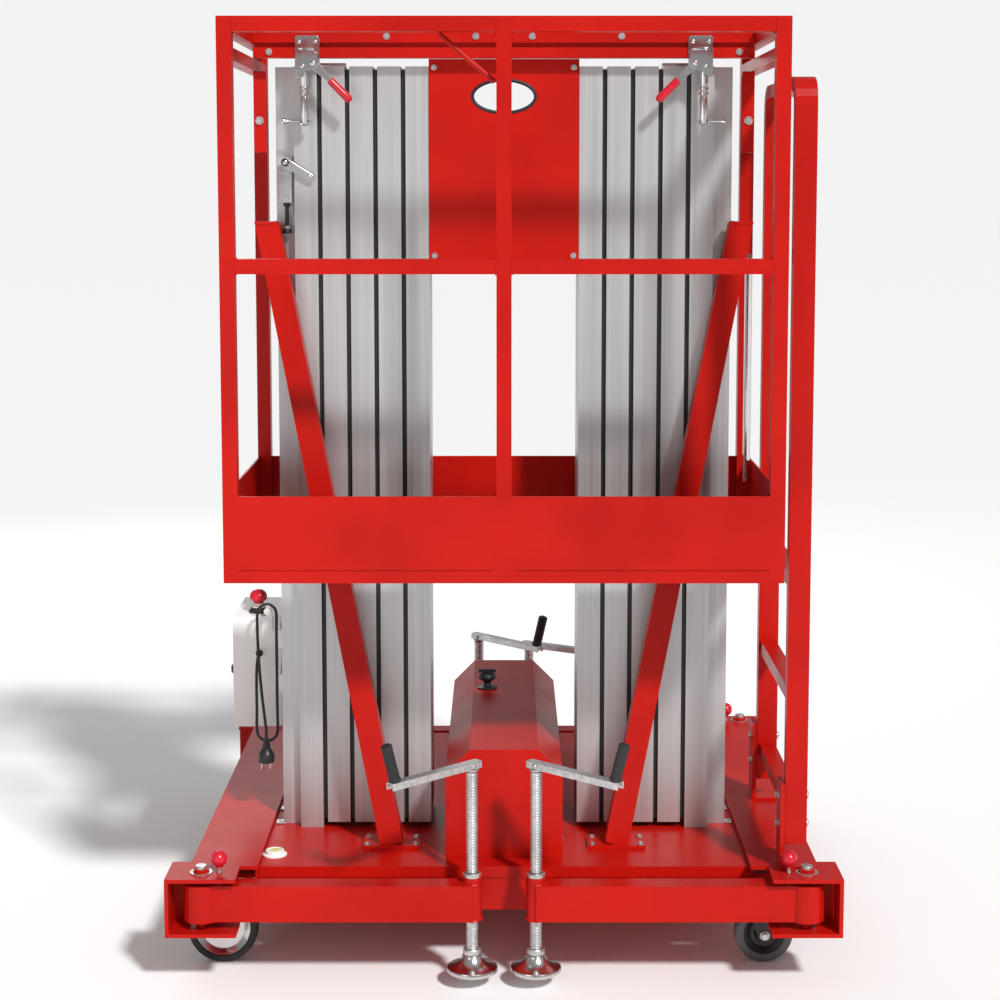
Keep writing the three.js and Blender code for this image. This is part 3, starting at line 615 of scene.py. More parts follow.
def crank(corner):
    centre = joint_at(f"{corner}_crank_turn")
    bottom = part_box(f"{corner}_jack_crank")[0].z
    top = bottom + CRANK_HEIGHT
    body = f"{corner}_crank"
    angle = math.radians(CRANK_ANGLE[corner])
    along = Vector((math.cos(angle), math.sin(angle), 0))
    across = UP.cross(along)
    head = Vector((centre.x, centre.y, top))
    w, t, d = CRANK_HALF_WIDTH, CRANK_WALL, CRANK_DEPTH
    channel = Piece(f"{corner}_crank_arm", body, "zinc_steel")
    section = [(-w, -d), (-w, 0), (w, 0), (w, -d), (w - t, -d), (w - t, -t), (-w + t, -t), (-w + t, -d)]
    rings = []
    for reach in (-CRANK_HEEL, CRANK_REACH):
        rings.append([channel.mesh.verts.new(head + along * reach + across * a + UP * b) for a, b in section])
    channel.skin(rings[0], rings[1])
    channel.mesh.faces.new(rings[0])
    channel.mesh.faces.new(rings[1])
    for side in (-1, 1):
        seat = head - UP * 0.008 + across * side * w + along * 0.004
        channel.rivet(seat, across * side, 0.0055)
    channel.done(bevel=0.0008, replaces=(f"{corner}_jack_crank",))

    hub = Piece(f"{corner}_crank_hub", body, "zinc_steel")
    hub.lathe([(0.0084, bottom), (0.0145, bottom), (0.015, bottom + 0.001), (0.015, bottom + 0.0028),
               (0.0084, bottom + 0.0028), (0.0084, bottom)], (centre.x, centre.y, 0), UP, 32)
    inner = w - t - 0.0004
    roof = top - t - 0.0004
    hub.lathe([(0.0081, bottom + 0.003), (0.0081, roof - 0.001), (0, roof - 0.001), (0, roof), (inner, roof),
               (inner, bottom + 0.003), (0.0081, bottom + 0.003)], (centre.x, centre.y, 0), UP, 32)
    hub.done()

    lean = Vector((along.x * GRIP_LEAN, along.y * GRIP_LEAN, 1)).normalized()
    grip = Piece(f"{corner}_crank_grip", body, "black_plastic", BLACK_RUBBER)
    r = GRIP_RADIUS
    profile = [(0, 0.002), (r * 1.06, 0.002), (r * 1.06, 0.006), (r * 0.94, 0.009)]
    for i in range(GRIP_RIBS):
        height = 0.014 + i * (GRIP_LENGTH - 0.028) / (GRIP_RIBS - 1)
        profile.append((r * (0.95 + 0.03 * (i % 2)), height))
    profile += [(r, GRIP_LENGTH - 0.008), (r * 0.96, GRIP_LENGTH - 0.002), (r * 0.7, GRIP_LENGTH),
                (0, GRIP_LENGTH)]
    grip.lathe(profile, head + along * (CRANK_REACH - GRIP_INSET), lean, 28)
    grip.done()


def outrigger_welds(corner):
    pivot = joint_at(f"{corner}_outrigger_swing")
    foot = middle(f"{corner}_jack_leg")
    welds = Piece(f"{corner}_outrigger_welds", f"{corner}_outrigger", "red_paint")
    for z in (pivot.z + ARM_HALF_HEIGHT, pivot.z - ARM_HALF_HEIGHT):
        sleeve = arc((foot.x, foot.y), SLEEVE_WELD_RADIUS, 0, 360, 44)
        welds.sweep([(x, y, z) for x, y in sleeve], 0.0022, 8, 0.22)
        boss = arc((pivot.x, pivot.y), BOSS_WELD_RADIUS, 0, 360, 60)
        welds.sweep([(x, y, z) for x, y in boss[:-1]], 0.0018, 6, 0.2)
    welds.done()


for corner in CORNERS:
    lock_pin(corner)
    jack(corner)
    crank(corner)
    outrigger_welds(corner)


# ---- castors ----
AXLE_HEAD = 0.0085
AXLE_RADIUS = 0.0058
WHEEL_HALF_WIDTH = 0.019
FORK_HALF_WIDTH = 0.027
FORK_PLATE = 0.004
FORK_TIP_RADIUS = 0.0155
CROWN_GAP = {"zinc_steel": 0.0045, "black_plastic": 0.0065}
TREAD_SHARE = {"black_tyre": 0.80, "grey_tyre": 0.70}


def wheel(name, slot):
    low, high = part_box(name)
    centre = (low + high) / 2
    radius = (high.z - low.z) / 2
    half = WHEEL_HALF_WIDTH
    inner = radius * TREAD_SHARE[slot]
    tyre = Piece(f"{name}_tyre", name, slot)
    tyre.lathe([(inner, -half + 0.002), (inner + 0.003, -half), (radius - 0.006, -half),
                (radius - 0.0022, -half + 0.0028), (radius - 0.0004, -half * 0.55), (radius, 0),
                (radius - 0.0004, half * 0.55), (radius - 0.0022, half - 0.0028), (radius - 0.006, half),
                (inner + 0.003, half), (inner, half - 0.002), (inner, -half + 0.002)], centre, Y_AXIS, 72)
    tyre.done(smooth=45, replaces=(name,))
    rim = Piece(f"{name}_rim", name, "zinc_steel", POLISHED if slot == "black_tyre" else BLACK_PLASTIC)
    edge = inner - 0.0003
    for side in (-1, 1):
        rim.lathe([(0.0068, 0.0005), (0.0068, half + 0.0028), (0.0155, half + 0.0028), (0.0165, half - 0.001),
                   (0.021, half - 0.0095), (edge - 0.014, half - 0.0100), (edge - 0.006, half - 0.0035),
                   (edge - 0.002, half - 0.0010), (edge, half - 0.0025), (edge, 0.0005),
                   (0.0068, 0.0005)], centre, Y_AXIS * side, 56)
    rim.done(smooth=40)


def fork(name, body, wheel_name, slot, crown_x):
    """Two cheeks under a crown. A swivelling fork's crown is off the axle, so its cheeks lean."""
    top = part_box(name)[1].z
    axle = middle(wheel_name)
    half = FORK_HALF_WIDTH
    crown_z = axle.z * 2 + CROWN_GAP[slot]
    lean = 1 if crown_x > axle.x + 0.001 else 0
    cheeks = Piece(f"{name}_body", body, slot)
    outline = arc((axle.x, axle.z), FORK_TIP_RADIUS, 180 + 30 * lean, 360, 14)
    outline += [(crown_x + 0.030, crown_z - 0.020), (crown_x + 0.031, crown_z)]
    outline += [(crown_x - 0.031, crown_z), (crown_x - 0.030 + 0.006 * lean, crown_z - 0.030)]
    for side in (-1, 1):
        cheek_y = axle.y + side * (half - FORK_PLATE / 2)
        cheeks.plate(outline, (0, cheek_y, 0), X_AXIS, UP, FORK_PLATE)
    cheeks.block((crown_x - 0.032, axle.y - half, crown_z), (crown_x + 0.032, axle.y + half, crown_z + 0.005))
    if slot == "zinc_steel":
        cheeks.lathe([(0, crown_z + 0.0052), (0.024, crown_z + 0.0052), (0.0285, crown_z + 0.010),
                      (0.0285, crown_z + 0.014), (0.0255, crown_z + 0.016), (0.0255, crown_z + 0.0185),
                      (0.029, crown_z + 0.0205), (0.029, crown_z + 0.026), (0.025, crown_z + 0.030),
                      (0.025, top), (0, top)], (crown_x, axle.y, 0), UP, 48)
    else:
        cheeks.block((crown_x - 0.030, axle.y - 0.025, crown_z + 0.005),
                     (crown_x + 0.030, axle.y + 0.025, top))
    cheeks.done(bevel=0.0009, replaces=(name,))
    pin = Piece(f"{name}_axle", body, "zinc_steel")
    pin.lathe([(0, -half - 0.001), (AXLE_RADIUS, -half - 0.001), (AXLE_RADIUS, half + 0.001),
               (0, half + 0.001)], axle, Y_AXIS, 20)
    pin.bolt(axle - Y_AXIS * half, -Y_AXIS, AXLE_HEAD)
    pin.bolt(axle + Y_AXIS * half, Y_AXIS, AXLE_HEAD)
    pin.done()


for end, _ in ENDS:
    wheel(f"left_{end}_wheel", "black_tyre")
    wheel(f"right_{end}_wheel", "grey_tyre")
    fork(f"left_{end}_caster_fork", f"left_{end}_caster", f"left_{end}_wheel", "zinc_steel",
         joint_at(f"left_{end}_caster_swivel").x)
    fork(f"right_{end}_caster_fork", "chassis", f"right_{end}_wheel", "black_plastic",
         middle(f"right_{end}_wheel").x)


# ---- transport latches: toggle clamps under the head beam ----
LATCH_X = 0.418
LATCH_PLATE_Z = 1.930
LATCH_RIVET_Z = 1.9545
LATCH_CHEEK_OFFSET = 0.0078
LATCH_LEVER_OFFSET = 0.0046
LATCH_SHEET = 0.0022
LATCH_GRIP_START = 0.0500
LATCH_GRIP_LENGTH = 0.062
PLUNGER_BEHIND = 0.0215
PLUNGER_TOP = 1.898
PLUNGER_OUTWARD = 0.007
HOOK_Z = 1.783


def latch_mount(side, s, pivot, face_y):
    base = Piece(f"{side}_latch_mount", "carriage", "zinc_steel", CHROME)
    centre_x = s * LATCH_X
    seat = (centre_x, face_y - 0.0022, LATCH_PLATE_Z)
    base.plate(rounded_box(0.026, 0.0375, 0.006), seat, X_AXIS, UP, 0.0040)
    cheek = [(pivot.x - s * 0.010, 1.930), (pivot.x - s * 0.013, 1.908), (pivot.x - s * 0.006, 1.898),
             (pivot.x + s * 0.014, 1.893), (pivot.x + s * 0.030, 1.878), (pivot.x + s * 0.036, 1.880),
             (pivot.x + s * 0.030, 1.915), (pivot.x + s * 0.022, 1.938)]
    for offset in (-LATCH_CHEEK_OFFSET, LATCH_CHEEK_OFFSET):
        base.plate(cheek, (0, pivot.y + offset, 0), X_AXIS, UP, LATCH_SHEET)
    base.block((centre_x - 0.018, pivot.y - LATCH_CHEEK_OFFSET, 1.9385),
               (centre_x + 0.014, face_y - 0.004, 1.941))
    for dx in (-0.017, 0.017):
        base.rivet((centre_x + dx, face_y - 0.0043, LATCH_RIVET_Z), -Y_AXIS, 0.0046)
    base.rivet((pivot.x, pivot.y - 0.009, pivot.z), -Y_AXIS, 0.0058)
    base.rivet((pivot.x + s * 0.022, pivot.y - 0.009, pivot.z - 0.006), -Y_AXIS, 0.0045)
    base.done(bevel=0.0006, replaces=(f"{side}_latch_base",))


def latch_plunger(side, s, pivot):
    post_x = s * LATCH_X + s * PLUNGER_OUTWARD
    post_y = pivot.y + PLUNGER_BEHIND
    post = Piece(f"{side}_latch_plunger", "carriage", "zinc_steel", POLISHED)
    post.lathe([(0, -0.116), (0.0072, -0.116), (0.0085, -0.110), (0.0085, -0.062), (0.0070, -0.060),
                (0.0070, -0.056), (0.0105, -0.0555), (0.0105, -0.050), (0.0066, -0.049), (0.0066, -0.046),
                (0.0100, -0.045), (0.0100, -0.039), (0.0072, -0.038), (0.0095, -0.022), (0.0095, 0.0),
                (0, 0.0)], (post_x, post_y, PLUNGER_TOP), UP, 30)
    post.done(bevel=0.0004)
    hook = Piece(f"{side}_latch_hook", "carriage", "zinc_steel", CHROME)
    bend = [(a, -b) for a, b in arc((0, 0), 0.013, 0, 180, 14) + arc((0, 0), 0.0085, 180, 0, 14)]
    hook.plate(bend, (post_x, post_y, HOOK_Z + 0.006), X_AXIS, UP, 0.014)
    hook.lathe([(0, 0), (0.0034, 0), (0.0034, 0.026), (0.0062, 0.032), (0.0072, 0.036), (0.0062, 0.038),
                (0, 0.038)], (post_x + s * 0.009, post_y, HOOK_Z + 0.004), X_AXIS * s, 22)
    hook.done(bevel=0.0006)


def latch_lever(side, s, pivot):
    body = f"{side}_latch_lever"
    down = Vector((-s, 0, -1)).normalized()
    side_way = Vector((-s, 0, 1)).normalized()
    lever = Piece(f"{side}_latch_arm", body, "zinc_steel", CHROME)
    outline = arc((0, 0), 0.0095, 90, 270, 12)
    outline += [(0.048, -0.0062), (0.058, -0.0050), (0.058, 0.0050), (0.048, 0.0062)]
    for offset in (-LATCH_LEVER_OFFSET, LATCH_LEVER_OFFSET):
        lever.plate(outline, pivot + Y_AXIS * offset, down, side_way, LATCH_SHEET)
    lever.block((-0.006, -0.0035, -LATCH_LEVER_OFFSET), (0.040, -0.0012, LATCH_LEVER_OFFSET))
    turn_in = Matrix((down, side_way, down.cross(side_way))).transposed()
    lever.mesh.verts.ensure_lookup_table()
    for vert in lever.mesh.verts[-8:]:
        vert.co = pivot + turn_in @ vert.co
    lever.lathe([(0, -0.006), (0.0042, -0.006), (0.0042, 0.006), (0, 0.006)], pivot, Y_AXIS, 18)
    lever.done(bevel=0.0005, replaces=(f"{side}_latch_lever",))
    grip = Piece(f"{side}_latch_grip", body, "red_plastic")
    length = LATCH_GRIP_LENGTH
    grip.lathe([(0, 0), (0.0078, 0), (0.0086, 0.003), (0.0084, 0.02), (0.0090, 0.040),
                (0.0092, length - 0.010), (0.0080, length - 0.003), (0.0045, length), (0, length)],
               pivot + down * LATCH_GRIP_START, down, 26)
    grip.done()


for side, s in SIDES:
    latch_pivot = joint_at(f"{side}_latch_open")
    latch_mount(side, s, latch_pivot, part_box(f"{side}_latch_base")[1].y)
    latch_plunger(side, s, latch_pivot)
    latch_lever(side, s, latch_pivot)


# ---- clamp on the left outer mast stage ----
CLAMP_ARM = Vector((0.058, 0, -0.034))
CLAMP_ARM_LENGTH = 0.064
CLAMP_SHEET = 0.0050
CLAMP_PLATE_BEHIND = 0.0095
CLAMP_BOLT_BEHIND = 0.0077
CLAMP_TIP_BEHIND = 0.0085


def clamp_housing(pivot):
    body = Piece("mast_clamp_housing", "chassis", "zinc_steel", CHROME)
    body.plate(rounded_box(0.0155, 0.040, 0.006),
               (pivot.x - 0.004, pivot.y + CLAMP_PLATE_BEHIND, pivot.z - 0.048), X_AXIS, UP, 0.0035)
    for dx in (-0.0135, 0.0065):
        body.block((pivot.x + dx, pivot.y + 0.002, pivot.z - 0.080),
                   (pivot.x + dx + 0.003, pivot.y + 0.0105, pivot.z - 0.012))
    body.bolt((pivot.x - 0.010, pivot.y + CLAMP_BOLT_BEHIND, pivot.z - 0.020), -Y_AXIS, 0.0042)
    body.bolt((pivot.x + 0.003, pivot.y + CLAMP_BOLT_BEHIND, pivot.z - 0.076), -Y_AXIS, 0.0042)
    body.lathe([(0, -0.003), (0.0072, -0.003), (0.0085, 0.001), (0.0085, 0.009), (0, 0.009)],
               pivot, Y_AXIS, 24)
    body.done(bevel=0.0006)
    tip = Piece("mast_clamp_plunger", "chassis", "black_plastic")
    tip.lathe([(0, -0.152), (0.0095, -0.152), (0.0105, -0.149), (0.0085, -0.143), (0.0042, -0.140),
               (0.0042, -0.094), (0.0078, -0.092), (0.0078, -0.086), (0, -0.086)],
              (pivot.x, pivot.y + CLAMP_TIP_BEHIND, pivot.z), UP, 24)
    tip.done()


def clamp_lever(pivot):
    along = CLAMP_ARM.normalized()
    across = Vector((along.z, 0, -along.x))
    hub = Vector((pivot.x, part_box("mast_clamp_lever")[0].y + 0.006, pivot.z))
    lever = Piece("mast_clamp_arm", "mast_clamp_lever", "zinc_steel", POLISHED)
    outline = arc((0, 0), 0.0095, 90, 270, 12) + arc((CLAMP_ARM_LENGTH, 0), 0.0070, -90, 90, 10)
    lever.plate(outline, hub, along, across, CLAMP_SHEET)
    lever.lathe([(0, 0), (0.0088, 0), (0.0088, 0.009), (0.0070, 0.011), (0, 0.011)],
                hub - Y_AXIS * CLAMP_SHEET / 2, Y_AXIS, 24)
    rivet_seat = hub - Y_AXIS * 0.0026
    lever.rivet(rivet_seat, -Y_AXIS, 0.0060)
    lever.rivet(rivet_seat + along * 0.060, -Y_AXIS, 0.0040)
    lever.done(bevel=0.0006, replaces=("mast_clamp_lever",))


clamp_housing(joint_at("mast_clamp_swing"))
clamp_lever(joint_at("mast_clamp_swing"))


# ---- carriage hardware: mast-side gussets, bolts, diagonal stay, black ring of painted shade round the hand hole, weld beads ----
GUSSET_Z = (1.722, 1.8948)
GUSSET_FRONT = -0.195
GUSSET_FOLD = -0.189
GUSSET_REAR = -0.128
STAY_BEHIND = 0.034
STAY_RADIUS = 0.0055
HOLE_Z = 1.841
HOLE_HALF_SIZE = (0.0682, 0.0352)
HOLE_STEPS = 64
BASKET_TUBE = 0.030
MID_RAIL_Z = (1.476, 1.506)
KICK_PLATE_TOP = 1.032


def carriage_hardware():
    head_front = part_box("head_beam")[0].y
    plate_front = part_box("centre_plate")[0].y
    gussets = Piece("carriage_gussets", "carriage", "red_paint")
    bolts = Piece("carriage_bolts", "carriage", "zinc_steel")
    low_z, high_z = GUSSET_Z
    for _, s in SIDES:
        inner, edge, outer = s * 0.512, s * 0.5355, s * 0.539
        gussets.block((min(inner, outer), GUSSET_FRONT, low_z), (max(inner, outer), GUSSET_FOLD, high_z))
        gussets.block((min(edge, outer), GUSSET_FOLD, low_z), (max(edge, outer), GUSSET_REAR, high_z))
        bolts.bolt((s * 0.5265, GUSSET_FRONT, 1.790), -Y_AXIS, 0.0072)
        for x, z in ((0.500, 1.9335), (0.250, 1.966), (0.060, 1.966)):
            bolts.bolt((s * x, head_front, z), -Y_AXIS, 0.0058)
        for z in (1.50, 1.903):
            bolts.bolt((s * 0.150, plate_front, z), -Y_AXIS, 0.0052)
    gussets.done(bevel=0.0008)
    bolts.done(smooth=30)

    stay = Piece("head_stay", "carriage", "red_paint")
    stay_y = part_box("basket_frame")[0].y + STAY_BEHIND
    stay.sweep([(-0.128, stay_y, 1.948), (-0.077, stay_y, 1.903), (-0.018, stay_y, 1.854)], STAY_RADIUS, 14)
    stay.done()

    # A black ring round the hand hole: painted shade standing in for the shaded inner wall of the hole.
    hole_shade_ring = Piece("hand_hole_painted_shade", "carriage", "black_plastic", HOLE_PAINTED_SHADE)
    ring = []
    for i in range(HOLE_STEPS + 1):
        angle = 2 * math.pi * i / HOLE_STEPS
        ring.append((HOLE_HALF_SIZE[0] * math.cos(angle), plate_front + 0.0025,
                     HOLE_Z + HOLE_HALF_SIZE[1] * math.sin(angle)))
    hole_shade_ring.sweep(ring, 0.0042, 10)
    hole_shade_ring.done()


def weld_seams():
    """Lumpy fillet beads where the basket's rails meet its posts."""
    low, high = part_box("basket_frame")
    beads = Piece("basket_welds", "carriage", "red_paint")
    rail_top = high.z - BASKET_TUBE
    seams = (MID_RAIL_Z, (rail_top, high.z - 0.002))
    for x in (low.x + BASKET_TUBE, -BASKET_TUBE / 2, BASKET_TUBE / 2, high.x - BASKET_TUBE):
        for z in (*MID_RAIL_Z, rail_top, KICK_PLATE_TOP):
            for y in (low.y + 0.002, low.y + BASKET_TUBE - 0.002):
                beads.sweep([(x + dx, y, z) for dx in (-0.003, -0.001, 0.001, 0.003)], 0.0022, 6, 0.2)
        for start, stop in seams:
            points = [(x, low.y + 0.0002, start + (stop - start) * i / 14) for i in range(15)]
            beads.sweep(points, 0.0013, 6, 0.3)
    beads.done()


carriage_hardware()
weld_seams()


# ---- chassis hardware ----
PIVOT_CAP_Z = 0.2492
PIVOT_WASHER_Z = 0.2402
BRACE_FOOT_X = 0.243
LADDER_BRACKET_X = 0.5718
KNOB_SPOT = (-0.040, 0.075 + DRAWING_Y)
LEVEL_SPOT = (-0.490, -0.450 + DRAWING_Y)


def chassis_bolts():
    bolts = Piece("chassis_bolts", "chassis", "zinc_steel")
    plate_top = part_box("base_plate")[1].z
    for corner in CORNERS:
        pivot = joint_at(f"{corner}_outrigger_swing")
        cap, washer = PIVOT_CAP_Z, PIVOT_WASHER_Z
        bolts.lathe([(0, cap), (0.0125, cap), (0.0125, cap + 0.0053), (0.0112, cap + 0.0068),
                     (0, cap + 0.0068)], (pivot.x, pivot.y, 0), UP, 24)
        bolts.lathe([(0.0171, washer), (0.0235, washer), (0.0235, washer + 0.0022),
                     (0.0171, washer + 0.0022), (0.0171, washer)], (pivot.x, pivot.y, 0), UP, 36)
    for side, s in SIDES:
        foot_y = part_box(f"{side}_brace")[0].y + 0.035
        for dx in (-0.052, 0.052):
            for dy in (-0.024, 0.024):
                bolts.bolt((s * BRACE_FOOT_X + dx, foot_y + dy, plate_top + 0.0082), UP, 0.0056)
        mast_low, mast_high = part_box(f"{side}_mast_stage_1")
        outer_x = max(abs(mast_low.x), abs(mast_high.x))
        for dy in (0.040, 0.140):
            bolts.bolt((s * (outer_x + 0.004), mast_low.y + dy, plate_top + 0.0002), UP, 0.0066)
    ladder_low, ladder_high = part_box("ladder")
    for y in (ladder_low.y + 0.021, ladder_high.y - 0.014):
        for z in (0.33, 0.39):
            bolts.bolt((LADDER_BRACKET_X, y, z), -X_AXIS, 0.0072)
            bolts.lathe([(0, 0), (0.0085, 0), (0.0085, 0.004), (0.004, 0.007), (0, 0.007)],
                        (ladder_high.x, y, z), X_AXIS, 20)
    hood_low, hood_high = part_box("power_pack_hood")
    for y in (hood_low.y + 0.05, middle("power_pack_hood").y, hood_high.y - 0.05):
        for s in (-1, 1):
            bolts.rivet((s * hood_high.x, y, plate_top + 0.024), X_AXIS * s, 0.0055)
    bolts.done(smooth=30)


def mast_foot_angles():
    feet = Piece("mast_foot_angles", "chassis", "zinc_steel")
    plate_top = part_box("base_plate")[1].z
    for side, s in SIDES:
        mast_low, mast_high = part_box(f"{side}_mast_stage_1")
        outer = s * max(abs(mast_low.x), abs(mast_high.x))
        x0, x1 = sorted((outer + s * 0.0004, outer + s * 0.017))
        for dy in (0.028, 0.128):
            y = mast_low.y + dy
            feet.block((x0, y, plate_top + 0.0003), (x1, y + 0.024, plate_top + 0.004))
    feet.done(bevel=0.0005)


def hood_knob():
    x, y = KNOB_SPOT
    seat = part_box("power_pack_hood")[1].z + 0.0003
    knob = Piece("hood_knob", "chassis", "black_plastic")
    knob.lathe([(0, 0), (0.024, 0), (0.024, 0.003), (0.010, 0.006), (0.0085, 0.014), (0.012, 0.018),
                (0.0195, 0.022), (0.021, 0.028), (0.0185, 0.034), (0.010, 0.037), (0, 0.0375)],
               (x, y, seat), UP, 36)
    knob.block((x - 0.020, y - 0.003, seat + 0.0372), (x + 0.020, y + 0.003, seat + 0.0457))
    knob.done(bevel=0.0008)


def bubble_level():
    spot = (*LEVEL_SPOT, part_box("base_plate")[1].z + 0.0003)
    cup = Piece("bubble_level_cup", "chassis", "box_grey")
    cup.lathe([(0.0145, 0.0008), (0.019, 0), (0.026, 0), (0.026, 0.003), (0.0205, 0.0045), (0.0195, 0.011),
               (0.0155, 0.012), (0.0145, 0.011), (0.0145, 0.0008)], spot, UP, 40)
    cup.done()
    vial = Piece("bubble_level_vial", "chassis", "box_grey", VIAL)
    vial.lathe([(0, 0.0008), (0.0142, 0.0008), (0.0142, 0.0095), (0.011, 0.0112), (0, 0.0122)], spot, UP, 36)
    vial.done()


chassis_bolts()
mast_foot_angles()
hood_knob()
bubble_level()


# ---- mast stages: slide strips in the gaps ----
STRIP_Z = (0.245, 1.898)
STRIP_INSET = 0.0245
STRIP_DEPTH = 0.0094
STRIP_CLEARANCE = 0.0003
STRIP_HALF_WIDTH = 0.010
STRIP_OFFSET = 0.071


def slide_strips(side, s):
    centre_y = middle(f"{side}_mast_stage_2").y
    for stage in range(1, 5):
        low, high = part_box(f"{side}_mast_stage_{stage}")
        body = "chassis" if stage == 1 else f"{side}_stage_{stage}"
        face = min(abs(low.x), abs(high.x)) + STRIP_INSET
        x0, x1 = sorted((s * (face - STRIP_DEPTH), s * (face - STRIP_CLEARANCE)))
        strip = Piece(f"{side}_slide_strip_{stage}", body, "black_plastic")
        for y in (centre_y - STRIP_OFFSET, centre_y + STRIP_OFFSET):
            strip.block((x0, y - STRIP_HALF_WIDTH, STRIP_Z[0]), (x1, y + STRIP_HALF_WIDTH, STRIP_Z[1]))
        strip.done(bevel=0.001)


for side, s in SIDES:
    slide_strips(side, s)


# ---- control box and stop button ----
BOX_Z = (0.430, 0.683)
BOX_Y = (-0.160 + DRAWING_Y, 0.060 + DRAWING_Y)
DOOR_MARGIN = 0.010
HINGE_RADIUS = 0.0042
HINGE_INSET = 0.045


def control_box():
    face_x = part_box("control_box")[0].x
    front, rear = BOX_Y
    bottom, top = BOX_Z
    centre = Vector((face_x, (rear + front) / 2, (bottom + top) / 2))
    outline = rounded_box((rear - front) / 2 - DOOR_MARGIN, (top - bottom) / 2 - DOOR_MARGIN, 0.006)
    door = Piece("control_box_door", "chassis", "box_grey")
    door.plate(outline, centre - X_AXIS * 0.0012, Y_AXIS, UP, 0.0024)
    for z in (bottom + HINGE_INSET, top - HINGE_INSET):
        door.lathe([(0, -0.014), (HINGE_RADIUS, -0.014), (HINGE_RADIUS, 0.014), (0, 0.014)],
                   (face_x - 0.003, rear - 0.008, z), UP, 16)
    door.done(bevel=0.0008)
    lock = Piece("control_box_lock", "chassis", "black_plastic")
    lock_y = front + 0.028
    lock.lathe([(0, 0), (0.011, 0), (0.011, 0.003), (0.0085, 0.0055), (0, 0.0055)],
               (face_x - 0.0024, lock_y, centre.z), -X_AXIS, 28)
    lock.block((face_x - 0.0092, lock_y - 0.0015, centre.z - 0.007),
               (face_x - 0.0079, lock_y + 0.0015, centre.z + 0.007))
    lock.done(bevel=0.0003)


def stop_button():
    low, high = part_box("emergency_stop")
    centre = (low + high) / 2
    top = BOX_Z[1]
    collar = Piece("stop_button_collar", "chassis", "black_plastic")
    collar.lathe([(0.0142, top + 0.0003), (0.022, top + 0.0003), (0.022, top + 0.004), (0.0185, top + 0.0075),
                  (0.0168, top + 0.012), (0.0142, top + 0.012), (0.0142, top + 0.0003)],
                 (centre.x, centre.y, 0), UP, 40)
    collar.done()
    head = Piece("stop_button_head", "emergency_stop", "red_plastic")
    z = low.z
    head.lathe([(0, z), (0.0118, z), (0.0122, z + 0.004), (0.0175, z + 0.0075), (0.0198, z + 0.0100),
                (0.0203, z + 0.0140), (0.0196, z + 0.0195), (0.0165, z + 0.0255), (0.0110, z + 0.0300),
                (0.0050, z + 0.0322), (0, z + 0.0328)], (centre.x, centre.y, 0), UP, 48)
    head.done(smooth=50, replaces=("emergency_stop",))


control_box()
stop_button()


# ---- mains lead ----
# Its route, in metres and in the drawing's Y, from the gland round the peg to the plug.
LEAD_ROUTE = (
    (-0.553, -0.1642, 0.6), (-0.553, -0.172, 0.6), (-0.5535, -0.185, 0.5965), (-0.554, -0.1945, 0.587),
    (-0.555, -0.198, 0.574), (-0.556, -0.198, 0.54), (-0.556, -0.198, 0.48), (-0.556, -0.198, 0.43),
    (-0.553, -0.198, 0.4185), (-0.5445, -0.198, 0.41), (-0.533, -0.198, 0.407), (-0.5215, -0.198, 0.41),
    (-0.513, -0.198, 0.4185), (-0.51, -0.198, 0.43), (-0.51, -0.198, 0.5), (-0.51, -0.198, 0.6),
    (-0.51, -0.198, 0.66), (-0.51, -0.198, 0.698), (-0.5127, -0.199, 0.709), (-0.5203, -0.2005, 0.7173),
    (-0.5305, -0.2025, 0.7203), (-0.5407, -0.2045, 0.7173), (-0.5483, -0.206, 0.709),
    (-0.551, -0.2075, 0.698), (-0.551, -0.21, 0.65), (-0.547, -0.212, 0.57), (-0.541, -0.212, 0.5),
    (-0.536, -0.212, 0.455), (-0.534, -0.212, 0.436), (-0.534, -0.212, 0.42),
)
LEAD_DIAMETER = 0.0066


def smooth_route(points, steps=9):
    """A centripetal Catmull-Rom curve through the points."""
    points = [Vector(p) for p in points]
    ends = [points[0] * 2 - points[1], *points, points[-1] * 2 - points[-2]]
    line = []
    for i in range(len(points) - 1):
        before, here, there, after = ends[i:i + 4]
        gaps = [(b - a).length ** 0.5 for a, b in ((before, here), (here, there), (there, after))]
        leave = (here - before) / gaps[0] - (there - before) / (gaps[0] + gaps[1]) + (there - here) / gaps[1]
        arrive = (there - here) / gaps[1] - (after - here) / (gaps[1] + gaps[2]) + (after - there) / gaps[2]
        leave, arrive = leave * gaps[1], arrive * gaps[1]
        for k in range(steps):
            t = k / steps
            line.append(here * (2 * t**3 - 3 * t**2 + 1) + leave * (t**3 - 2 * t**2 + t)
                        + there * (3 * t**2 - 2 * t**3) + arrive * (t**3 - t**2))
    line.append(points[-1])
    return line


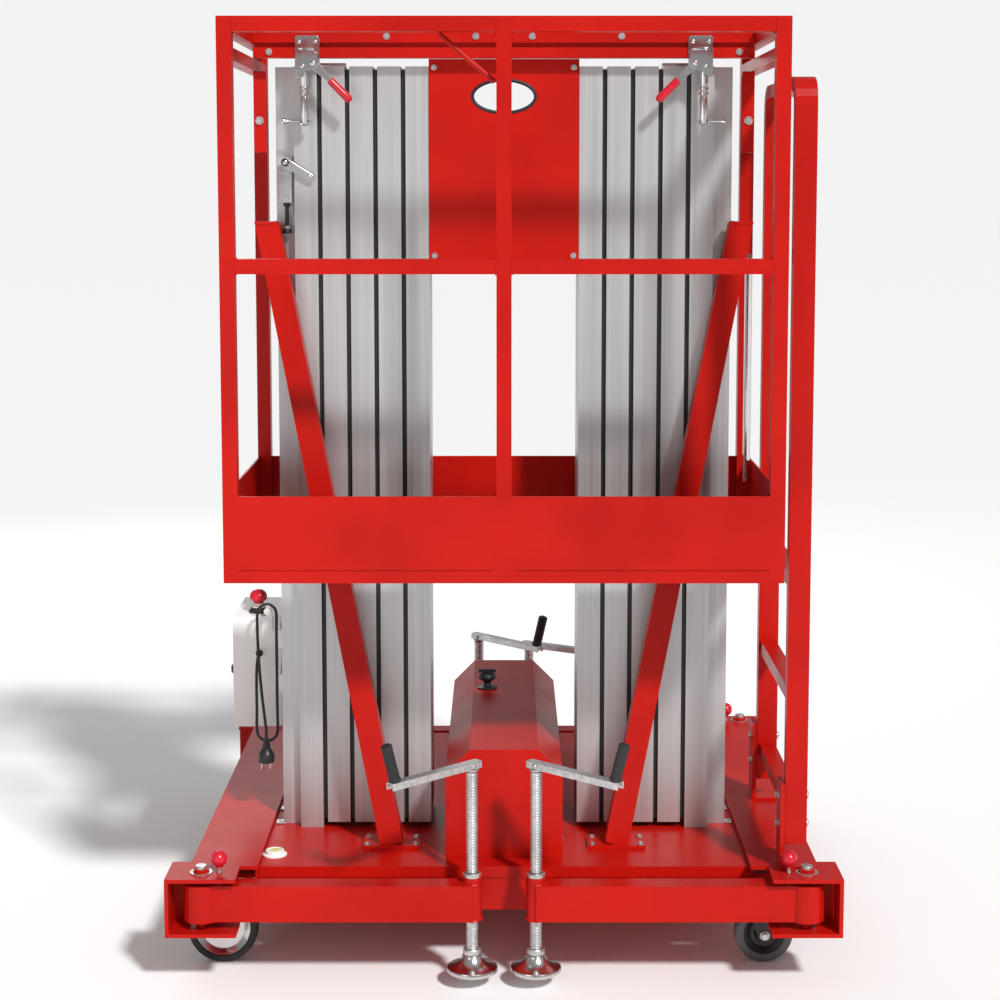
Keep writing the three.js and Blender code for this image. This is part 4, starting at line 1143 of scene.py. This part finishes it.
def mains_lead():
    line = smooth_route([(x, y + DRAWING_Y, z) for x, y, z in LEAD_ROUTE])
    curve = bpy.data.curves.new("mains_lead_flex", "CURVE")
    curve.dimensions = "3D"
    curve.bevel_depth = LEAD_DIAMETER / 2
    curve.bevel_resolution = 4
    curve.use_fill_caps = True
    strand = curve.splines.new("POLY")
    strand.points.add(len(line) - 1)
    for point, spot in zip(strand.points, line):
        point.co = (*spot, 1)
    curve.materials.append(BLACK_RUBBER)
    lead = bpy.data.objects.new("mains_lead_flex", curve)
    bpy.context.collection.objects.link(lead)
    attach(lead, "chassis")
    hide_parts("mains_lead")

    low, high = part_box("mains_plug")
    end = line[-1]
    plug = Piece("plug_body", "chassis", "black_plastic")
    base = high.z - 0.0575
    profile = [(0, base), (0.0170, base), (0.0182, base + 0.0015), (0.0182, base + 0.0170),
               (0.0165, base + 0.0215), (0.0120, base + 0.0290)]
    for i in range(5):
        z = base + 0.031 + i * 0.0048
        ridge = 0.0098 - i * 0.0010
        groove = 0.0078 - i * 0.0008
        profile += [(ridge, z), (ridge, z + 0.0028), (groove, z + 0.0034), (groove, z + 0.0046)]
    profile += [(0.0040, high.z - 0.0002), (0, high.z - 0.0002)]
    plug.lathe(profile, (end.x, end.y, 0), UP, 40)
    plug = plug.done(replaces=("mains_plug",))
    pins = Piece("plug_pins", "chassis", "chrome")
    for dx in (-0.0095, 0.0095):
        pins.lathe([(0, low.z), (0.0017, low.z), (0.0024, low.z + 0.0012), (0.0024, base - 0.0002),
                    (0, base - 0.0002)], (end.x + dx, end.y, 0), UP, 18)
    pins = pins.done()

    relief = Piece("lead_strain_relief", "chassis", "black_plastic")
    start = line[0] + Y_AXIS * 0.0004
    profile = [(0.0034, 0), (0.0082, 0), (0.0082, 0.0030)]
    for i in range(4):
        h = 0.0042 + i * 0.0042
        rib = 0.0068 - i * 0.0007
        profile += [(rib, h), (rib, h + 0.0022), (0.0052 - i * 0.0004, h + 0.0028)]
    profile += [(0.0044, 0.0205), (0.0034, 0.0205), (0.0034, 0)]
    relief.lathe(profile, start, -Y_AXIS, 30)
    relief = relief.done()


mains_lead()


# ---- anti-slip tread on the basket floor ----
TREAD_REAR = -0.372 + DRAWING_Y
TREAD_MARGIN = (0.020, 0.014)
TREAD_ROWS = 8
TREAD_COLUMNS = 34
TREAD_BAR = [(0.0105, 0), (0.005, 0.0032), (-0.005, 0.0032), (-0.0105, 0), (-0.005, -0.0032),
             (0.005, -0.0032)]
TREAD_HEIGHT = 0.0016


def deck_tread():
    """Raised diamonds, turned one way and the other in a chequer."""
    low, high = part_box("platform_deck")
    margin_x, margin_y = TREAD_MARGIN
    tread = Piece("deck_tread", "carriage", "aluminium", DECK)
    for row in range(TREAD_ROWS):
        for column in range(TREAD_COLUMNS):
            x = low.x + margin_x + (high.x - low.x - 2 * margin_x) * (column + 0.5) / TREAD_COLUMNS
            y = low.y + margin_y + (TREAD_REAR - low.y - 2 * margin_y) * (row + 0.5) / TREAD_ROWS
            angle = math.radians(45 if (row + column) % 2 else -45)
            along = Vector((math.cos(angle), math.sin(angle), 0))
            across = UP.cross(along)
            tread.plate(TREAD_BAR, (x, y, high.z + 0.0009), along, across, TREAD_HEIGHT)
    tread.done(bevel=0.0005)


deck_tread()
